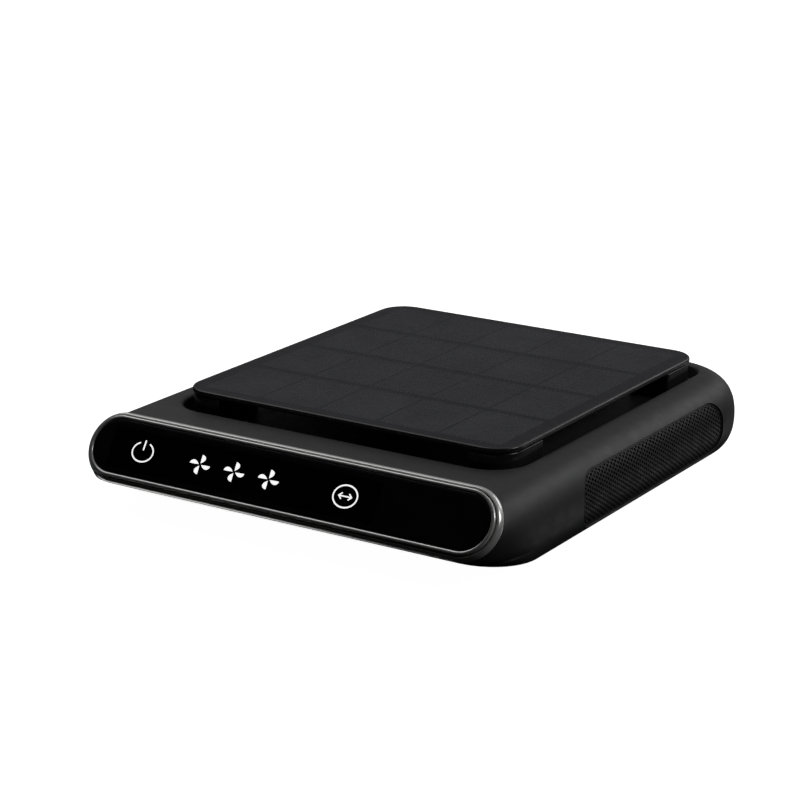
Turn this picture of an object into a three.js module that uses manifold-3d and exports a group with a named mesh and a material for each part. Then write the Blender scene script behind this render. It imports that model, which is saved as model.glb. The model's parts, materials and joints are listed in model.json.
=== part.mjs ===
// A solar powered air purifier for a car's shelf or dashboard: a low, round-sided case
// with a leaning touch display at the front, a solar panel standing on four posts over
// a recessed air outlet, a perforated filter door on each side, and the blower, battery
// and boards inside. Millimetres, +X right, +Y to the back, +Z up, seen from the display.

import * as THREE from 'three';
import { mergeVertices } from 'three/addons/utils/BufferGeometryUtils.js';
import Module from 'manifold-3d';

const wasm = await Module();
wasm.setup();

// ---------------------------------------------------------------- driving dimensions

// Case, as one rounded body. Y is counted from the display's centre until the last lines.
const BODY_WIDTH = 225;
const BODY_BACK = 247.8;
const BODY_HEIGHT = 39.4;
const FOOT_STAND = 1.6;
const SIDE_ROUND = 19;
const SIDE_ROUND_POWER = 2.35;
const REAR_CORNER = 39.5;
const NOSE_REACH = 88;
const NOSE_START_DEG = 38;
const CORNER_END_TOP = 16.5;
const CORNER_END_NOSE = 26;
const CORNER_START_DEG = 35;
const NOSE_CORNER = 10.5;
const CORNER_SIDE_MARGIN = 0.4;
const WALL = 2.2;
const PARTING_ABOVE_BASE = 5;

// Fits. TOUCH is left between pieces that touch, PLAY between pieces that slide.
const TOUCH = 0.3;
const PLAY = 0.3;
const TRIM_GAP = 0.2;

// Display on the leaning front face.
const LEAN_DEG = 33.1;
const GLASS_RADIUS = 12.55;
const GLASS_THICK = 1.8;
const TRIM_WIDTH = 1.75;
const TRIM_PROUD = 0.5;
const TRIM_CHAMFER = { outer: 0.5, inner: 0.3, shoulder: 0.1 };
const BEZEL_GROOVE = 0.4;
const BEZEL_FLARE = 1.9;
const BEZEL_SETBACK = 4.2;
const BEZEL_SIDE_MARGIN = 3.3;
const BEZEL_PROUD = 1.75;
const BEZEL_SPIGOT = 7;
const BEZEL_FLANGE = 1.4;
const BEZEL_LEDGE = 1.6;
const BEZEL_LIP = { sink: 0.8, width: 0.7, drop: 1 };
const BEZEL_EDGE = { inset: 0.1, height: 1 };
const BOARD_THICK = 1.4;

// Solar panel and the recess that it stands over.
const PANEL_SIDE_MARGIN = 24.2;
const PANEL_FRONT = 43;
const PANEL_REAR_MARGIN = 22.1;
const PANEL_THICK = 2.4;
const PANEL_ABOVE_BODY = 7.3;
const PANEL_CORNER = 13.6;
const LAMINATE_THICK = 0.9;
const PANEL_RIM = 1.2;
const RECESS_DEPTH = 8;
const RECESS_MARGIN = 3.1;
const RECESS_FRONT_MARGIN = 6.2;
const RECESS_CORNER = 18;
const POST_WIDTH = 21;
const POST_LENGTH = 31.5;
const POST_INSET = 0.5;
const POST_CORNER = 1.5;

// Side filter doors.
const DOOR_LENGTH = 137;
const DOOR_HEIGHT = 26.2;
const DOOR_CORNER = 11;
const DOOR_END_FLAT = 0.2;
const DOOR_CENTRE_Y = 136;
const DOOR_BASE = 8.4;
const DOOR_SINK = 0.6;
const DOOR_SKIN = 1.5;
const DOOR_SKIRT = 1.3;
const BAY_WALL = 1.4;
const BAY_LIP = 2.5;
const FILTER_DEPTH = 8.6;
const FILTER_WALL = 1.5;
const MEDIA_SKIN = 0.8;
const MEDIA_MARGIN = 0.4;
const PLEATS = 26;

// Blower.
const BLOWER_Y = 136;
const INLET_GAP = 4.2;
const HOUSING_RADIUS = 53;
const HOUSING_WALL = 2.4;
const HOUSING_FLOOR = 1.5;
const HOUSING_FLANGE = 4.5;
const OUTLET_PLENUM = 6.8;
const VOLUTE_GAP = 8.6;
const BLADE_LENGTH = 15;
const IMPELLER_PLATE = 1.5;
const RUN_GAP = 0.5;
const BLADES = 20;
const BLADE_THICK = 1.2;
const BLADE_TURN_DEG = 28;
const CUP_RADIUS = 16.4;
const CUP_WALL = 1.5;
const MAGNET_THICK = 2;
const AIR_GAP = 0.6;
const STATOR_TEETH = 9;
const TOOTH_DEPTH = 3.4;
const TOOTH_SHARE = 0.32;
const SLOT_SHARE = 0.34;
const MAGNET_LIFT = 0.5;
const SHROUD_THICK = 1;
const SPINDLE_RADIUS = 6;
const BEARING_RADIUS = 4;
const BEARING_SPACE = 1.7;
const SHAFT_RADIUS = 1.5;
const SHAFT_RUNNING_FIT = 0.06;
const HUB_RADIUS = 4.5;
const HUB_LENGTH = 2.4;
const SPOKES = 4;
const SPOKE_WIDTH = 5;
const OUTLET_SLOTS = 24;
const SLOT_WIDTH = 3.4;
const SLOT_INNER_MARGIN = 1;
const SLOT_OUTER_MARGIN = 0.6;

// Battery, boards and modules.
const CELL_RADIUS = 9.2;
const CELL_LENGTH = 65;
const CELL_PITCH = 19.4;
const CELL_X = -40;
const CELL_REAR_GAP = 0.2;
const HOLDER_WALL = 1.2;
const HOLDER_HEIGHT = 9;
const PCB = 1.6;
const MAIN_BOARD = { x: 45, y: 55, width: 60, length: 36, lift: 4 };
const MODULE_LIFT = 1;
const AIR_SENSOR = { x: -70, y: 78, width: 34, length: 34, height: 12 };
const ION_BOX = { x: -30, y: 66, width: 42, length: 20, height: 13 };
const CHARGE_BOARD = { x: 40, width: 26, length: 20, lift: 12, rearGap: 3 };
const USB = { width: 9, height: 3.2, length: 7, wall: 0.4, sink: 0.8 };
const ION_EMITTER = { x: -50, y: 42, radius: 2.2, needle: 0.5, height: 3, reach: 6 };

// Fasteners and feet.
const SCREW_SHANK = 1.3;
const SCREW_HEAD = 2.8;
const SCREW_HEAD_HEIGHT = 1.6;
const SCREW_LENGTH = 14;
const BOSS_RADIUS = 4;
const CASE_SCREW = { sideMargin: 16.5, frontY: 48, rearSideMargin: 22.5, rearMargin: 32.8 };
const FOOT = { radius: 7, sideMargin: 38.5, frontY: 82, rearMargin: 43.8, pocket: 1, chamfer: 0.6 };
const STANDOFF = { radius: 2.5, inset: 4 };

// ------------------------------------------------------------------ worked-out places

const rad = THREE.MathUtils.degToRad;
const LEAN_SIN = Math.sin(rad(LEAN_DEG));
const LEAN_COS = Math.cos(rad(LEAN_DEG));
const HALF_WIDTH = BODY_WIDTH / 2;
const HALF_HEIGHT = BODY_HEIGHT / 2;
const BASE_Z = FOOT_STAND;
const TOP_Z = BASE_Z + BODY_HEIGHT;
const MIDDLE_Z = BASE_Z + HALF_HEIGHT;
const FLOOR_Z = BASE_Z + WALL;
const PARTING_Z = BASE_Z + PARTING_ABOVE_BASE;

const TRIM_INNER = GLASS_RADIUS + TRIM_GAP;
const TRIM_OUTER = TRIM_INNER + TRIM_WIDTH;
const BEZEL_INNER = TRIM_OUTER + BEZEL_GROOVE;
const BEZEL_RADIUS = BEZEL_INNER + BEZEL_FLARE;
const BEZEL_HALF = HALF_WIDTH - BEZEL_SIDE_MARGIN;
const END_CENTRE = BEZEL_HALF - BEZEL_RADIUS;
const SPIGOT_RADIUS = BEZEL_INNER + BEZEL_FLANGE / 2;
const DISPLAY_OPENING = SPIGOT_RADIUS + TOUCH;
const BEZEL_TOP_RISE = BEZEL_RADIUS * LEAN_COS - BEZEL_SETBACK * LEAN_SIN;
const DISPLAY_Z = TOP_Z + BEZEL_PROUD - BEZEL_TOP_RISE;
const BEZEL_PLANE = { y: BEZEL_SETBACK * LEAN_COS, z: DISPLAY_Z - BEZEL_SETBACK * LEAN_SIN };
const NOSE = { y: BEZEL_PLANE.y - BEZEL_RADIUS * LEAN_SIN, z: BEZEL_PLANE.z - BEZEL_RADIUS * LEAN_COS };

const PANEL_HALF = HALF_WIDTH - PANEL_SIDE_MARGIN;
const PANEL_BACK = BODY_BACK - PANEL_REAR_MARGIN;
const PANEL_TOP = TOP_Z + PANEL_ABOVE_BODY;
const TRAY_Z = PANEL_TOP - PANEL_THICK;
const DECK_TOP = TOP_Z - RECESS_DEPTH;
const DECK_UNDER = DECK_TOP - WALL;
const RECESS = {
  x0: -PANEL_HALF - RECESS_MARGIN,
  x1: PANEL_HALF + RECESS_MARGIN,
  y0: PANEL_FRONT - RECESS_FRONT_MARGIN,
  y1: PANEL_BACK + RECESS_FRONT_MARGIN,
};

const DOOR_ROUND = Math.min(DOOR_CORNER, (DOOR_HEIGHT - DOOR_END_FLAT) / 2);
const BAY_INNER_X = RECESS.x1 + WALL + 2 * TOUCH;
const FILTER_INNER_X = BAY_INNER_X + BAY_WALL + TOUCH;
const FILTER_OUTER_X = FILTER_INNER_X + FILTER_DEPTH;

const IMPELLER_RADIUS = HOUSING_RADIUS - HOUSING_WALL - VOLUTE_GAP;
const IMPELLER_EYE = IMPELLER_RADIUS - BLADE_LENGTH;
const HOUSING_Z = FLOOR_Z + INLET_GAP;
const HOUSING_TOP = DECK_UNDER - TOUCH;
const HOUSING_DECK = HOUSING_Z + HOUSING_FLOOR;
const IMPELLER_TOP = DECK_UNDER - OUTLET_PLENUM;
const IMPELLER_BASE = HOUSING_DECK + RUN_GAP;
const PLATE_UNDER = IMPELLER_TOP - IMPELLER_PLATE;
const HUB_BASE = PLATE_UNDER - HUB_LENGTH;
const SPINDLE_TOP = HUB_BASE - RUN_GAP;
const BEARING_HEIGHT = (SPINDLE_TOP - HOUSING_DECK - BEARING_SPACE) / 2;
const MAGNET_OUTER = CUP_RADIUS - CUP_WALL - TOUCH;
const MAGNET_INNER = MAGNET_OUTER - MAGNET_THICK;
const STATOR_RADIUS = MAGNET_INNER - AIR_GAP;
const SCREW_BORE = SCREW_SHANK + TOUCH;

const USB_Z = FLOOR_Z + CHARGE_BOARD.lift + PCB + TOUCH;
const CHARGE_Y = BODY_BACK - WALL - CHARGE_BOARD.rearGap - CHARGE_BOARD.length / 2;

// ----------------------------------------------------------------------- solid helpers

function toSolid(geometry) {
  const plain = geometry.clone();
  plain.deleteAttribute('normal');
  plain.deleteAttribute('uv');
  const merged = mergeVertices(plain, 1e-4);
  return new wasm.Manifold(new wasm.Mesh({
    numProp: 3,
    vertProperties: new Float32Array(merged.attributes.position.array),
    triVerts: new Uint32Array(merged.index.array),
  }));
}

function toGeometry(solid) {
  const mesh = solid.getMesh();
  const geometry = new THREE.BufferGeometry();
  geometry.setAttribute('position', new THREE.BufferAttribute(mesh.vertProperties, 3));
  geometry.setIndex(new THREE.BufferAttribute(mesh.triVerts, 1));
  geometry.computeVertexNormals();
  return geometry;
}

function cut(solid, ...tools) {
  return tools.reduce((rest, tool) => rest.subtract(tool), solid);
}

function join(solid, ...others) {
  return others.reduce((sum, other) => sum.add(other), solid);
}

// The faces between stacked outlines that all have the same number of points.
function wallFaces(outlines) {
  const count = outlines[0].length;
  const index = [];
  for (let level = 0; level < outlines.length - 1; level += 1) {
    for (let i = 0; i < count; i += 1) {
      const a = level * count + i;
      const b = level * count + (i + 1) % count;
      index.push(a, b, b + count, a, b + count, a + count);
    }
  }
  return index;
}

function indexed(outlines, index) {
  const geometry = new THREE.BufferGeometry();
  geometry.setAttribute('position', new THREE.Float32BufferAttribute(outlines.flat(2), 3));
  geometry.setIndex(index);
  return geometry;
}

// A closed surface through stacked outlines, flat at both ends.
function loft(outlines) {
  const count = outlines[0].length;
  const index = wallFaces(outlines);
  const last = (outlines.length - 1) * count;
  for (let i = 1; i < count - 1; i += 1) {
    index.push(0, i + 1, i);
    index.push(last, last + i, last + i + 1);
  }
  return indexed(outlines, index);
}

function box(x0, x1, y0, y1, z0, z1) {
  const geometry = new THREE.BoxGeometry(x1 - x0, y1 - y0, z1 - z0);
  return geometry.translate((x0 + x1) / 2, (y0 + y1) / 2, (z0 + z1) / 2);
}

function rod(x, y, z0, z1, radius, segments = 16) {
  const geometry = new THREE.CylinderGeometry(radius, radius, z1 - z0, segments);
  return geometry.rotateX(Math.PI / 2).translate(x, y, (z0 + z1) / 2);
}

// A body of revolution about +Z from [radius, height] points.
function turned(points, segments = 36) {
  const profile = points.map(([r, z]) => new THREE.Vector2(r, z));
  return new THREE.LatheGeometry(profile, segments).rotateX(Math.PI / 2);
}

function ring(inner, outer, z0, z1, segments = 24) {
  return turned([[inner, z0], [outer, z0], [outer, z1], [inner, z1], [inner, z0]], segments);
}

function roundedShape(x0, x1, y0, y1, radius) {
  const shape = new THREE.Shape();
  shape.absarc(x1 - radius, y1 - radius, radius, 0, Math.PI / 2);
  shape.absarc(x0 + radius, y1 - radius, radius, Math.PI / 2, Math.PI);
  shape.absarc(x0 + radius, y0 + radius, radius, Math.PI, 1.5 * Math.PI);
  shape.absarc(x1 - radius, y0 + radius, radius, 1.5 * Math.PI, 2 * Math.PI);
  shape.closePath();
  return shape;
}

function slab(shape, z0, z1, curveSegments = 4) {
  const options = { depth: z1 - z0, bevelEnabled: false, curveSegments };
  return new THREE.ExtrudeGeometry(shape, options).translate(0, 0, z0);
}

// A prism along X whose section is drawn in Y and Z.
function prismX(shape, x0, x1, curveSegments = 4) {
  const low = Math.min(x0, x1);
  const high = Math.max(x0, x1);
  const turn = new THREE.Matrix4().makeBasis(
    new THREE.Vector3(0, 1, 0),
    new THREE.Vector3(0, 0, 1),
    new THREE.Vector3(1, 0, 0),
  );
  return slab(shape, low, high, curveSegments).applyMatrix4(turn);
}

// ------------------------------------------------------------------------ case surface

const ROUND_LEVELS = 12;
const FRONT_STEPS = 4;
const REAR_STEPS = 6;

// Outline of the case at one height, with every face moved inwards by inset.
function caseOutline(height, inset) {
  const half = HALF_HEIGHT - inset;
  const round = SIDE_ROUND - inset;
  const up = Math.min(1, Math.abs(height / half));
  const fullness = (1 - up ** SIDE_ROUND_POWER) ** (1 / SIDE_ROUND_POWER);
  const draw = round * (1 - fullness);
  const width = HALF_WIDTH - inset - draw;
  const rear = BODY_BACK - inset - draw;
  const corner = Math.max(REAR_CORNER - inset - draw, 1);
  const z = MIDDLE_Z + height;
  let front = BEZEL_PLANE.y;
  let faceHalf = END_CENTRE;
  let sweep = CORNER_END_NOSE - NOSE.y;
  let firstTurn = 0;
  if (z >= NOSE.z) {
    const along = (z - BEZEL_PLANE.z) / LEAN_COS;
    const rise = (z - NOSE.z) / (TOP_Z - NOSE.z);
    front += along * LEAN_SIN;
    faceHalf += Math.sqrt(Math.max(0, (BEZEL_RADIUS - inset) ** 2 - along ** 2));
    sweep = CORNER_END_NOSE + (CORNER_END_TOP - CORNER_END_NOSE) * rise - front;
    firstTurn = rad(CORNER_START_DEG) * Math.min(1, 2 * rise);
  } else {
    const down = (NOSE.z - z) / (NOSE.z - (MIDDLE_Z - half));
    const startSin = Math.sin(rad(NOSE_START_DEG));
    const sine = startSin + down * (1 - startSin);
    const cosine = Math.sqrt(Math.max(0, 1 - sine ** 2));
    front = NOSE.y + NOSE_REACH * (Math.cos(rad(NOSE_START_DEG)) - cosine);
    sweep += (NOSE_CORNER - sweep) * Math.sqrt(down);
  }
  front += inset / LEAN_COS;
  faceHalf = Math.min(faceHalf, width - CORNER_SIDE_MARGIN);
  const side = [];
  const startX = Math.sin(firstTurn);
  const startY = Math.cos(firstTurn);
  for (let i = 0; i <= FRONT_STEPS; i += 1) {
    const turn = firstTurn + (i / FRONT_STEPS) * (Math.PI / 2 - firstTurn);
    const across = (Math.sin(turn) - startX) / (1 - startX);
    const back = (startY - Math.cos(turn)) / startY;
    side.push([faceHalf + (width - faceHalf) * across, front + sweep * back, z]);
  }
  for (let i = 0; i <= REAR_STEPS; i += 1) {
    const turn = (i / REAR_STEPS) * Math.PI / 2;
    side.push([width - corner + corner * Math.cos(turn), rear - corner + corner * Math.sin(turn), z]);
  }
  const mirrored = side.map(([x, y, level]) => [-x, y, level]).reverse();
  return [...side, ...mirrored];
}

function caseOutlines(inset) {
  const outlines = [];
  for (let level = 0; level <= ROUND_LEVELS; level += 1) {
    const angle = Math.PI * (level / ROUND_LEVELS - 0.5);
    outlines.push(caseOutline((HALF_HEIGHT - inset) * Math.sin(angle), inset));
  }
  return outlines;
}

function caseBody(inset) {
  return toSolid(loft(caseOutlines(inset)));
}

// How far back the case reaches at a height, between the outlines above and below it.
function caseRearAt(z, inset) {
  const reach = caseOutlines(inset).map((outline) => ({
    z: outline[0][2],
    y: Math.max(...outline.map((point) => point[1])),
  }));
  const above = reach.findIndex((level) => level.z > z);
  const [low, high] = [reach[above - 1], reach[above]];
  return low.y + (high.y - low.y) * (z - low.z) / (high.z - low.z);
}

const outerBody = caseBody(0);
const innerBody = caseBody(WALL);

// A stadium on the leaning face: local X along it, local Y up it, local Z out of it.
const leaningFace = new THREE.Matrix4()
  .makeTranslation(0, 0, DISPLAY_Z)
  .multiply(new THREE.Matrix4().makeRotationX(rad(90 - LEAN_DEG)));

const END_STEPS = 10;

// Sweeps [offset, height] points, counted from the stadium's spine, around the stadium.
function stadiumSweep(points) {
  return points.map(([offset, height]) => {
    const outline = [];
    for (const end of [1, -1]) {
      for (let i = 0; i <= END_STEPS; i += 1) {
        const turn = Math.PI * (i / END_STEPS - 0.5) + (end > 0 ? 0 : Math.PI);
        outline.push([end * END_CENTRE + offset * Math.cos(turn), offset * Math.sin(turn), height]);
      }
    }
    return outline;
  });
}

function stadiumSlab(radius, z0, z1) {
  return loft(stadiumSweep([[radius, z0], [radius, z1]])).applyMatrix4(leaningFace);
}

// A closed band around the stadium; its section's points go round counter-clockwise.
function stadiumBand(section) {
  const outlines = stadiumSweep([...section, section[0]]);
  const band = toSolid(indexed(outlines, wallFaces(outlines)));
  return toGeometry(band).applyMatrix4(leaningFace);
}

// ------------------------------------------------------------------------ shared places

const SIDES = [{ name: 'right', sign: 1 }, { name: 'left', sign: -1 }];

const postCentres = [];
for (const side of SIDES) {
  const x = side.sign * (PANEL_HALF - POST_INSET - POST_WIDTH / 2);
  postCentres.push({ name: `front_${side.name}`, x, y: PANEL_FRONT + POST_INSET + POST_LENGTH / 2 });
  postCentres.push({ name: `rear_${side.name}`, x, y: PANEL_BACK - POST_INSET - POST_LENGTH / 2 });
}

const caseScrews = [];
const footCentres = [];
for (const side of SIDES) {
  const screwX = side.sign * (HALF_WIDTH - CASE_SCREW.sideMargin);
  const rearScrewX = side.sign * (HALF_WIDTH - CASE_SCREW.rearSideMargin);
  const footX = side.sign * (HALF_WIDTH - FOOT.sideMargin);
  caseScrews.push({ name: `front_${side.name}`, x: screwX, y: CASE_SCREW.frontY });
  caseScrews.push({ name: `rear_${side.name}`, x: rearScrewX, y: BODY_BACK - CASE_SCREW.rearMargin });
  footCentres.push({ name: `front_${side.name}`, x: footX, y: FOOT.frontY });
  footCentres.push({ name: `rear_${side.name}`, x: footX, y: BODY_BACK - FOOT.rearMargin });
}

function doorShape(inset) {
  return roundedShape(
    DOOR_CENTRE_Y - DOOR_LENGTH / 2 + inset,
    DOOR_CENTRE_Y + DOOR_LENGTH / 2 - inset,
    DOOR_BASE + inset,
    DOOR_BASE + DOOR_HEIGHT - inset,
    DOOR_ROUND - inset,
  );
}

function standoff(x, y, top) {
  return toSolid(rod(x, y, BASE_Z, top, STANDOFF.radius, 12)).intersect(outerBody);
}

// ------------------------------------------------------------------------------- pieces

const model = new THREE.Group();

function addPiece(name, geometry, color, roughness, metalness = 0) {
  const material = new THREE.MeshStandardMaterial({ color, roughness, metalness });
  const mesh = new THREE.Mesh(geometry, material);
  mesh.name = name;
  model.add(mesh);
}

function addCase() {
  const recess = roundedShape(RECESS.x0, RECESS.x1, RECESS.y0, RECESS.y1, RECESS_CORNER);
  const trough = roundedShape(RECESS.x0 - WALL, RECESS.x1 + WALL, RECESS.y0 - WALL,
    RECESS.y1 + WALL, RECESS_CORNER + WALL);
  const recessTool = toSolid(slab(recess, DECK_TOP, TOP_Z + WALL));
  const troughTool = toSolid(slab(trough, DECK_UNDER, TOP_Z + WALL));
  const upper = toSolid(box(-BODY_WIDTH, BODY_WIDTH, -BODY_BACK, 2 * BODY_BACK,
    PARTING_Z + TOUCH / 2, 2 * TOP_Z));
  const lower = toSolid(box(-BODY_WIDTH, BODY_WIDTH, -BODY_BACK, 2 * BODY_BACK,
    -TOP_Z, PARTING_Z - TOUCH / 2));
  const shell = outerBody.subtract(recessTool).subtract(innerBody.subtract(troughTool));

  const bosses = caseScrews.map(({ x, y }) => toSolid(rod(x, y, PARTING_Z + TOUCH / 2, TOP_Z, BOSS_RADIUS))
    .intersect(outerBody).subtract(recessTool));
  const bores = caseScrews.map(({ x, y }) => toSolid(rod(x, y, 0, BASE_Z + SCREW_LENGTH + 2, SCREW_BORE)));
  const openings = [
    toSolid(stadiumSlab(DISPLAY_OPENING, -BEZEL_SPIGOT - TOUCH, BEZEL_SETBACK)),
    toSolid(rod(0, BLOWER_Y, DECK_UNDER - WALL, TOP_Z, HOUSING_RADIUS - TOUCH / 2, 36)),
    toSolid(box(CHARGE_BOARD.x - USB.width / 2 - TOUCH, CHARGE_BOARD.x + USB.width / 2 + TOUCH,
      BODY_BACK - 2 * WALL, BODY_BACK + WALL,
      USB_Z - TOUCH, USB_Z + USB.height + TOUCH)),
  ];
  for (const side of SIDES) {
    const reach = side.sign * BODY_WIDTH;
    openings.push(toSolid(prismX(doorShape(0), side.sign * (FILTER_OUTER_X - TOUCH), reach)));
  }
  for (const { x, y } of postCentres) {
    openings.push(toSolid(rod(x, y, DECK_UNDER - WALL, TOP_Z, SCREW_BORE, 16)));
  }
  const top = cut(join(shell.intersect(upper), ...bosses), ...openings, ...bores);
  addPiece('top_case', toGeometry(top), 0x1b1b1d, 0.55);

  const pads = caseScrews.map(({ x, y }) => toSolid(rod(x, y, BASE_Z, PARTING_Z - TOUCH / 2, BOSS_RADIUS + 1))
    .intersect(outerBody));
  const heads = caseScrews.map(({ x, y }) => toSolid(
    rod(x, y, 0, BASE_Z + SCREW_HEAD_HEIGHT + 2 * TOUCH, SCREW_HEAD + TOUCH)));
  const pockets = footCentres.map(({ x, y }) => toSolid(
    rod(x, y, 0, BASE_Z + FOOT.pocket, FOOT.radius + TOUCH)));
  const boardTop = FLOOR_Z + MAIN_BOARD.lift - TOUCH;
  const stands = [];
  for (const across of [-1, 1]) {
    for (const along of [-1, 1]) {
      stands.push(standoff(MAIN_BOARD.x + across * (MAIN_BOARD.width / 2 - STANDOFF.inset),
        MAIN_BOARD.y + along * (MAIN_BOARD.length / 2 - STANDOFF.inset), boardTop));
    }
    stands.push(standoff(CHARGE_BOARD.x + across * (CHARGE_BOARD.width / 2 - STANDOFF.inset),
      CHARGE_Y - CHARGE_BOARD.length / 2 + STANDOFF.inset, FLOOR_Z + CHARGE_BOARD.lift - TOUCH));
  }
  const tray = join(outerBody.subtract(innerBody).intersect(lower), ...pads, ...stands);
  addPiece('bottom_case', toGeometry(cut(tray, ...heads, ...pockets, ...bores)), 0x161617, 0.6);
}

function addDisplay() {
  const bezel = stadiumBand([
    [BEZEL_INNER, -BEZEL_LIP.sink],
    [BEZEL_INNER, -BEZEL_SPIGOT + BEZEL_FLANGE],
    [GLASS_RADIUS - BEZEL_LEDGE, -BEZEL_SPIGOT + BEZEL_FLANGE],
    [GLASS_RADIUS - BEZEL_LEDGE, -BEZEL_SPIGOT],
    [SPIGOT_RADIUS, -BEZEL_SPIGOT],
    [SPIGOT_RADIUS, -BEZEL_SETBACK + TOUCH],
    [BEZEL_RADIUS, -BEZEL_SETBACK + TOUCH],
    [BEZEL_RADIUS - BEZEL_EDGE.inset, -BEZEL_SETBACK + BEZEL_EDGE.height],
    [BEZEL_INNER + BEZEL_LIP.width, -BEZEL_LIP.drop],
  ]);
  addPiece('display_bezel', bezel, 0xb8b8ba, 0.2, 1);

  const boardTop = -BEZEL_SPIGOT + BEZEL_FLANGE + TOUCH + BOARD_THICK;
  const trim = stadiumBand([
    [TRIM_INNER, boardTop + TOUCH],
    [TRIM_OUTER, boardTop + TOUCH],
    [TRIM_OUTER, -TRIM_CHAMFER.shoulder],
    [TRIM_OUTER - TRIM_CHAMFER.outer, TRIM_PROUD],
    [TRIM_INNER + TRIM_CHAMFER.inner, TRIM_PROUD],
    [TRIM_INNER, TRIM_PROUD - TRIM_CHAMFER.inner],
  ]);
  addPiece('display_trim', trim, 0xd0d0d2, 0.12, 1);
  addPiece('touch_glass', stadiumSlab(GLASS_RADIUS, -GLASS_THICK, 0), 0x050506, 0.06);
  addPiece('light_guide', stadiumSlab(GLASS_RADIUS, boardTop + TOUCH, -GLASS_THICK - TOUCH), 0xdcdcd4, 0.5);
  addPiece('display_board', stadiumSlab(TRIM_OUTER - TOUCH, boardTop - BOARD_THICK, boardTop), 0x123a22, 0.6);
}

function addSolarPanel() {
  const outline = roundedShape(-PANEL_HALF, PANEL_HALF, PANEL_FRONT, PANEL_BACK, PANEL_CORNER);
  const inner = roundedShape(-PANEL_HALF + PANEL_RIM, PANEL_HALF - PANEL_RIM, PANEL_FRONT + PANEL_RIM,
    PANEL_BACK - PANEL_RIM, PANEL_CORNER - PANEL_RIM);
  const sheet = roundedShape(-PANEL_HALF + PANEL_RIM + TOUCH, PANEL_HALF - PANEL_RIM - TOUCH,
    PANEL_FRONT + PANEL_RIM + TOUCH, PANEL_BACK - PANEL_RIM - TOUCH, PANEL_CORNER - PANEL_RIM - TOUCH);
  const seat = PANEL_TOP - LAMINATE_THICK - TOUCH;
  const tray = toSolid(slab(outline, TRAY_Z, PANEL_TOP, 6))
    .subtract(toSolid(slab(inner, seat, PANEL_TOP + 1, 6)));
  addPiece('solar_tray', toGeometry(tray), 0x4a4a4c, 0.35);
  addPiece('solar_laminate', slab(sheet, seat + TOUCH, PANEL_TOP, 6), 0x2c2c33, 0.35);

  // Each post is a rounded block: the big radius is on the panel's corner.
  for (const { name, x, y } of postCentres) {
    const outerX = Math.sign(x);
    const outerY = y > (PANEL_FRONT + PANEL_BACK) / 2 ? 1 : -1;
    const hw = POST_WIDTH / 2;
    const hl = POST_LENGTH / 2;
    const big = PANEL_CORNER - POST_INSET;
    const radiusAt = (sx, sy) => (sx === outerX && sy === outerY ? big : POST_CORNER);
    const shape = new THREE.Shape();
    [[1, 1, 0], [-1, 1, 0.5], [-1, -1, 1], [1, -1, 1.5]].forEach(([sx, sy, start]) => {
      const r = radiusAt(sx, sy);
      shape.absarc(sx * (hw - r), sy * (hl - r), r, start * Math.PI, (start + 0.5) * Math.PI);
    });
    shape.closePath();
    const block = toSolid(slab(shape, DECK_TOP + TOUCH, TRAY_Z - TOUCH).translate(x, y, 0));
    const bore = toSolid(rod(x, y, DECK_TOP, DECK_UNDER + SCREW_LENGTH - SCREW_HEAD_HEIGHT, SCREW_BORE, 16));
    addPiece(`panel_post_${name}`, toGeometry(block.subtract(bore)), 0x2a2a2c, 0.5);
    const shank = toSolid(rod(x, y, DECK_UNDER - TOUCH - SCREW_HEAD_HEIGHT / 2,
      DECK_TOP + SCREW_LENGTH / 2, SCREW_SHANK, 12));
    const head = toSolid(rod(x, y, DECK_UNDER - TOUCH - SCREW_HEAD_HEIGHT, DECK_UNDER - TOUCH,
      SCREW_HEAD, 16));
    addPiece(`post_screw_${name}`, toGeometry(join(head, shank)), 0x8a8a8c, 0.4, 1);
  }
}

function addOutlet() {
  const slots = [];
  const inner = IMPELLER_RADIUS + SLOT_INNER_MARGIN;
  const outer = HOUSING_RADIUS - HOUSING_WALL - SLOT_OUTER_MARGIN;
  for (let i = 0; i < OUTLET_SLOTS; i += 1) {
    const slot = box(inner, outer, -SLOT_WIDTH / 2, SLOT_WIDTH / 2, DECK_UNDER - 1, DECK_TOP + 1);
    slots.push(toSolid(slot.rotateZ(2 * Math.PI * i / OUTLET_SLOTS).translate(0, BLOWER_Y, 0)));
  }
  const disc = toSolid(rod(0, BLOWER_Y, DECK_UNDER, DECK_TOP, HOUSING_RADIUS - 2 * TOUCH, 36));
  addPiece('outlet_grille', toGeometry(cut(disc, ...slots)), 0x101011, 0.6);

  const tip = DECK_TOP + TOUCH + ION_EMITTER.reach;
  const emitter = turned([
    [0, DECK_TOP + TOUCH],
    [ION_EMITTER.radius, DECK_TOP + TOUCH],
    [ION_EMITTER.radius, DECK_TOP + TOUCH + ION_EMITTER.height],
    [ION_EMITTER.needle, DECK_TOP + TOUCH + ION_EMITTER.height],
    [ION_EMITTER.needle, tip - 1],
    [0, tip],
  ], 16).translate(ION_EMITTER.x, ION_EMITTER.y, 0);
  addPiece('ion_emitter', toGeometry(toSolid(emitter)), 0x9a9a9c, 0.35, 0.6);
}

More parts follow.
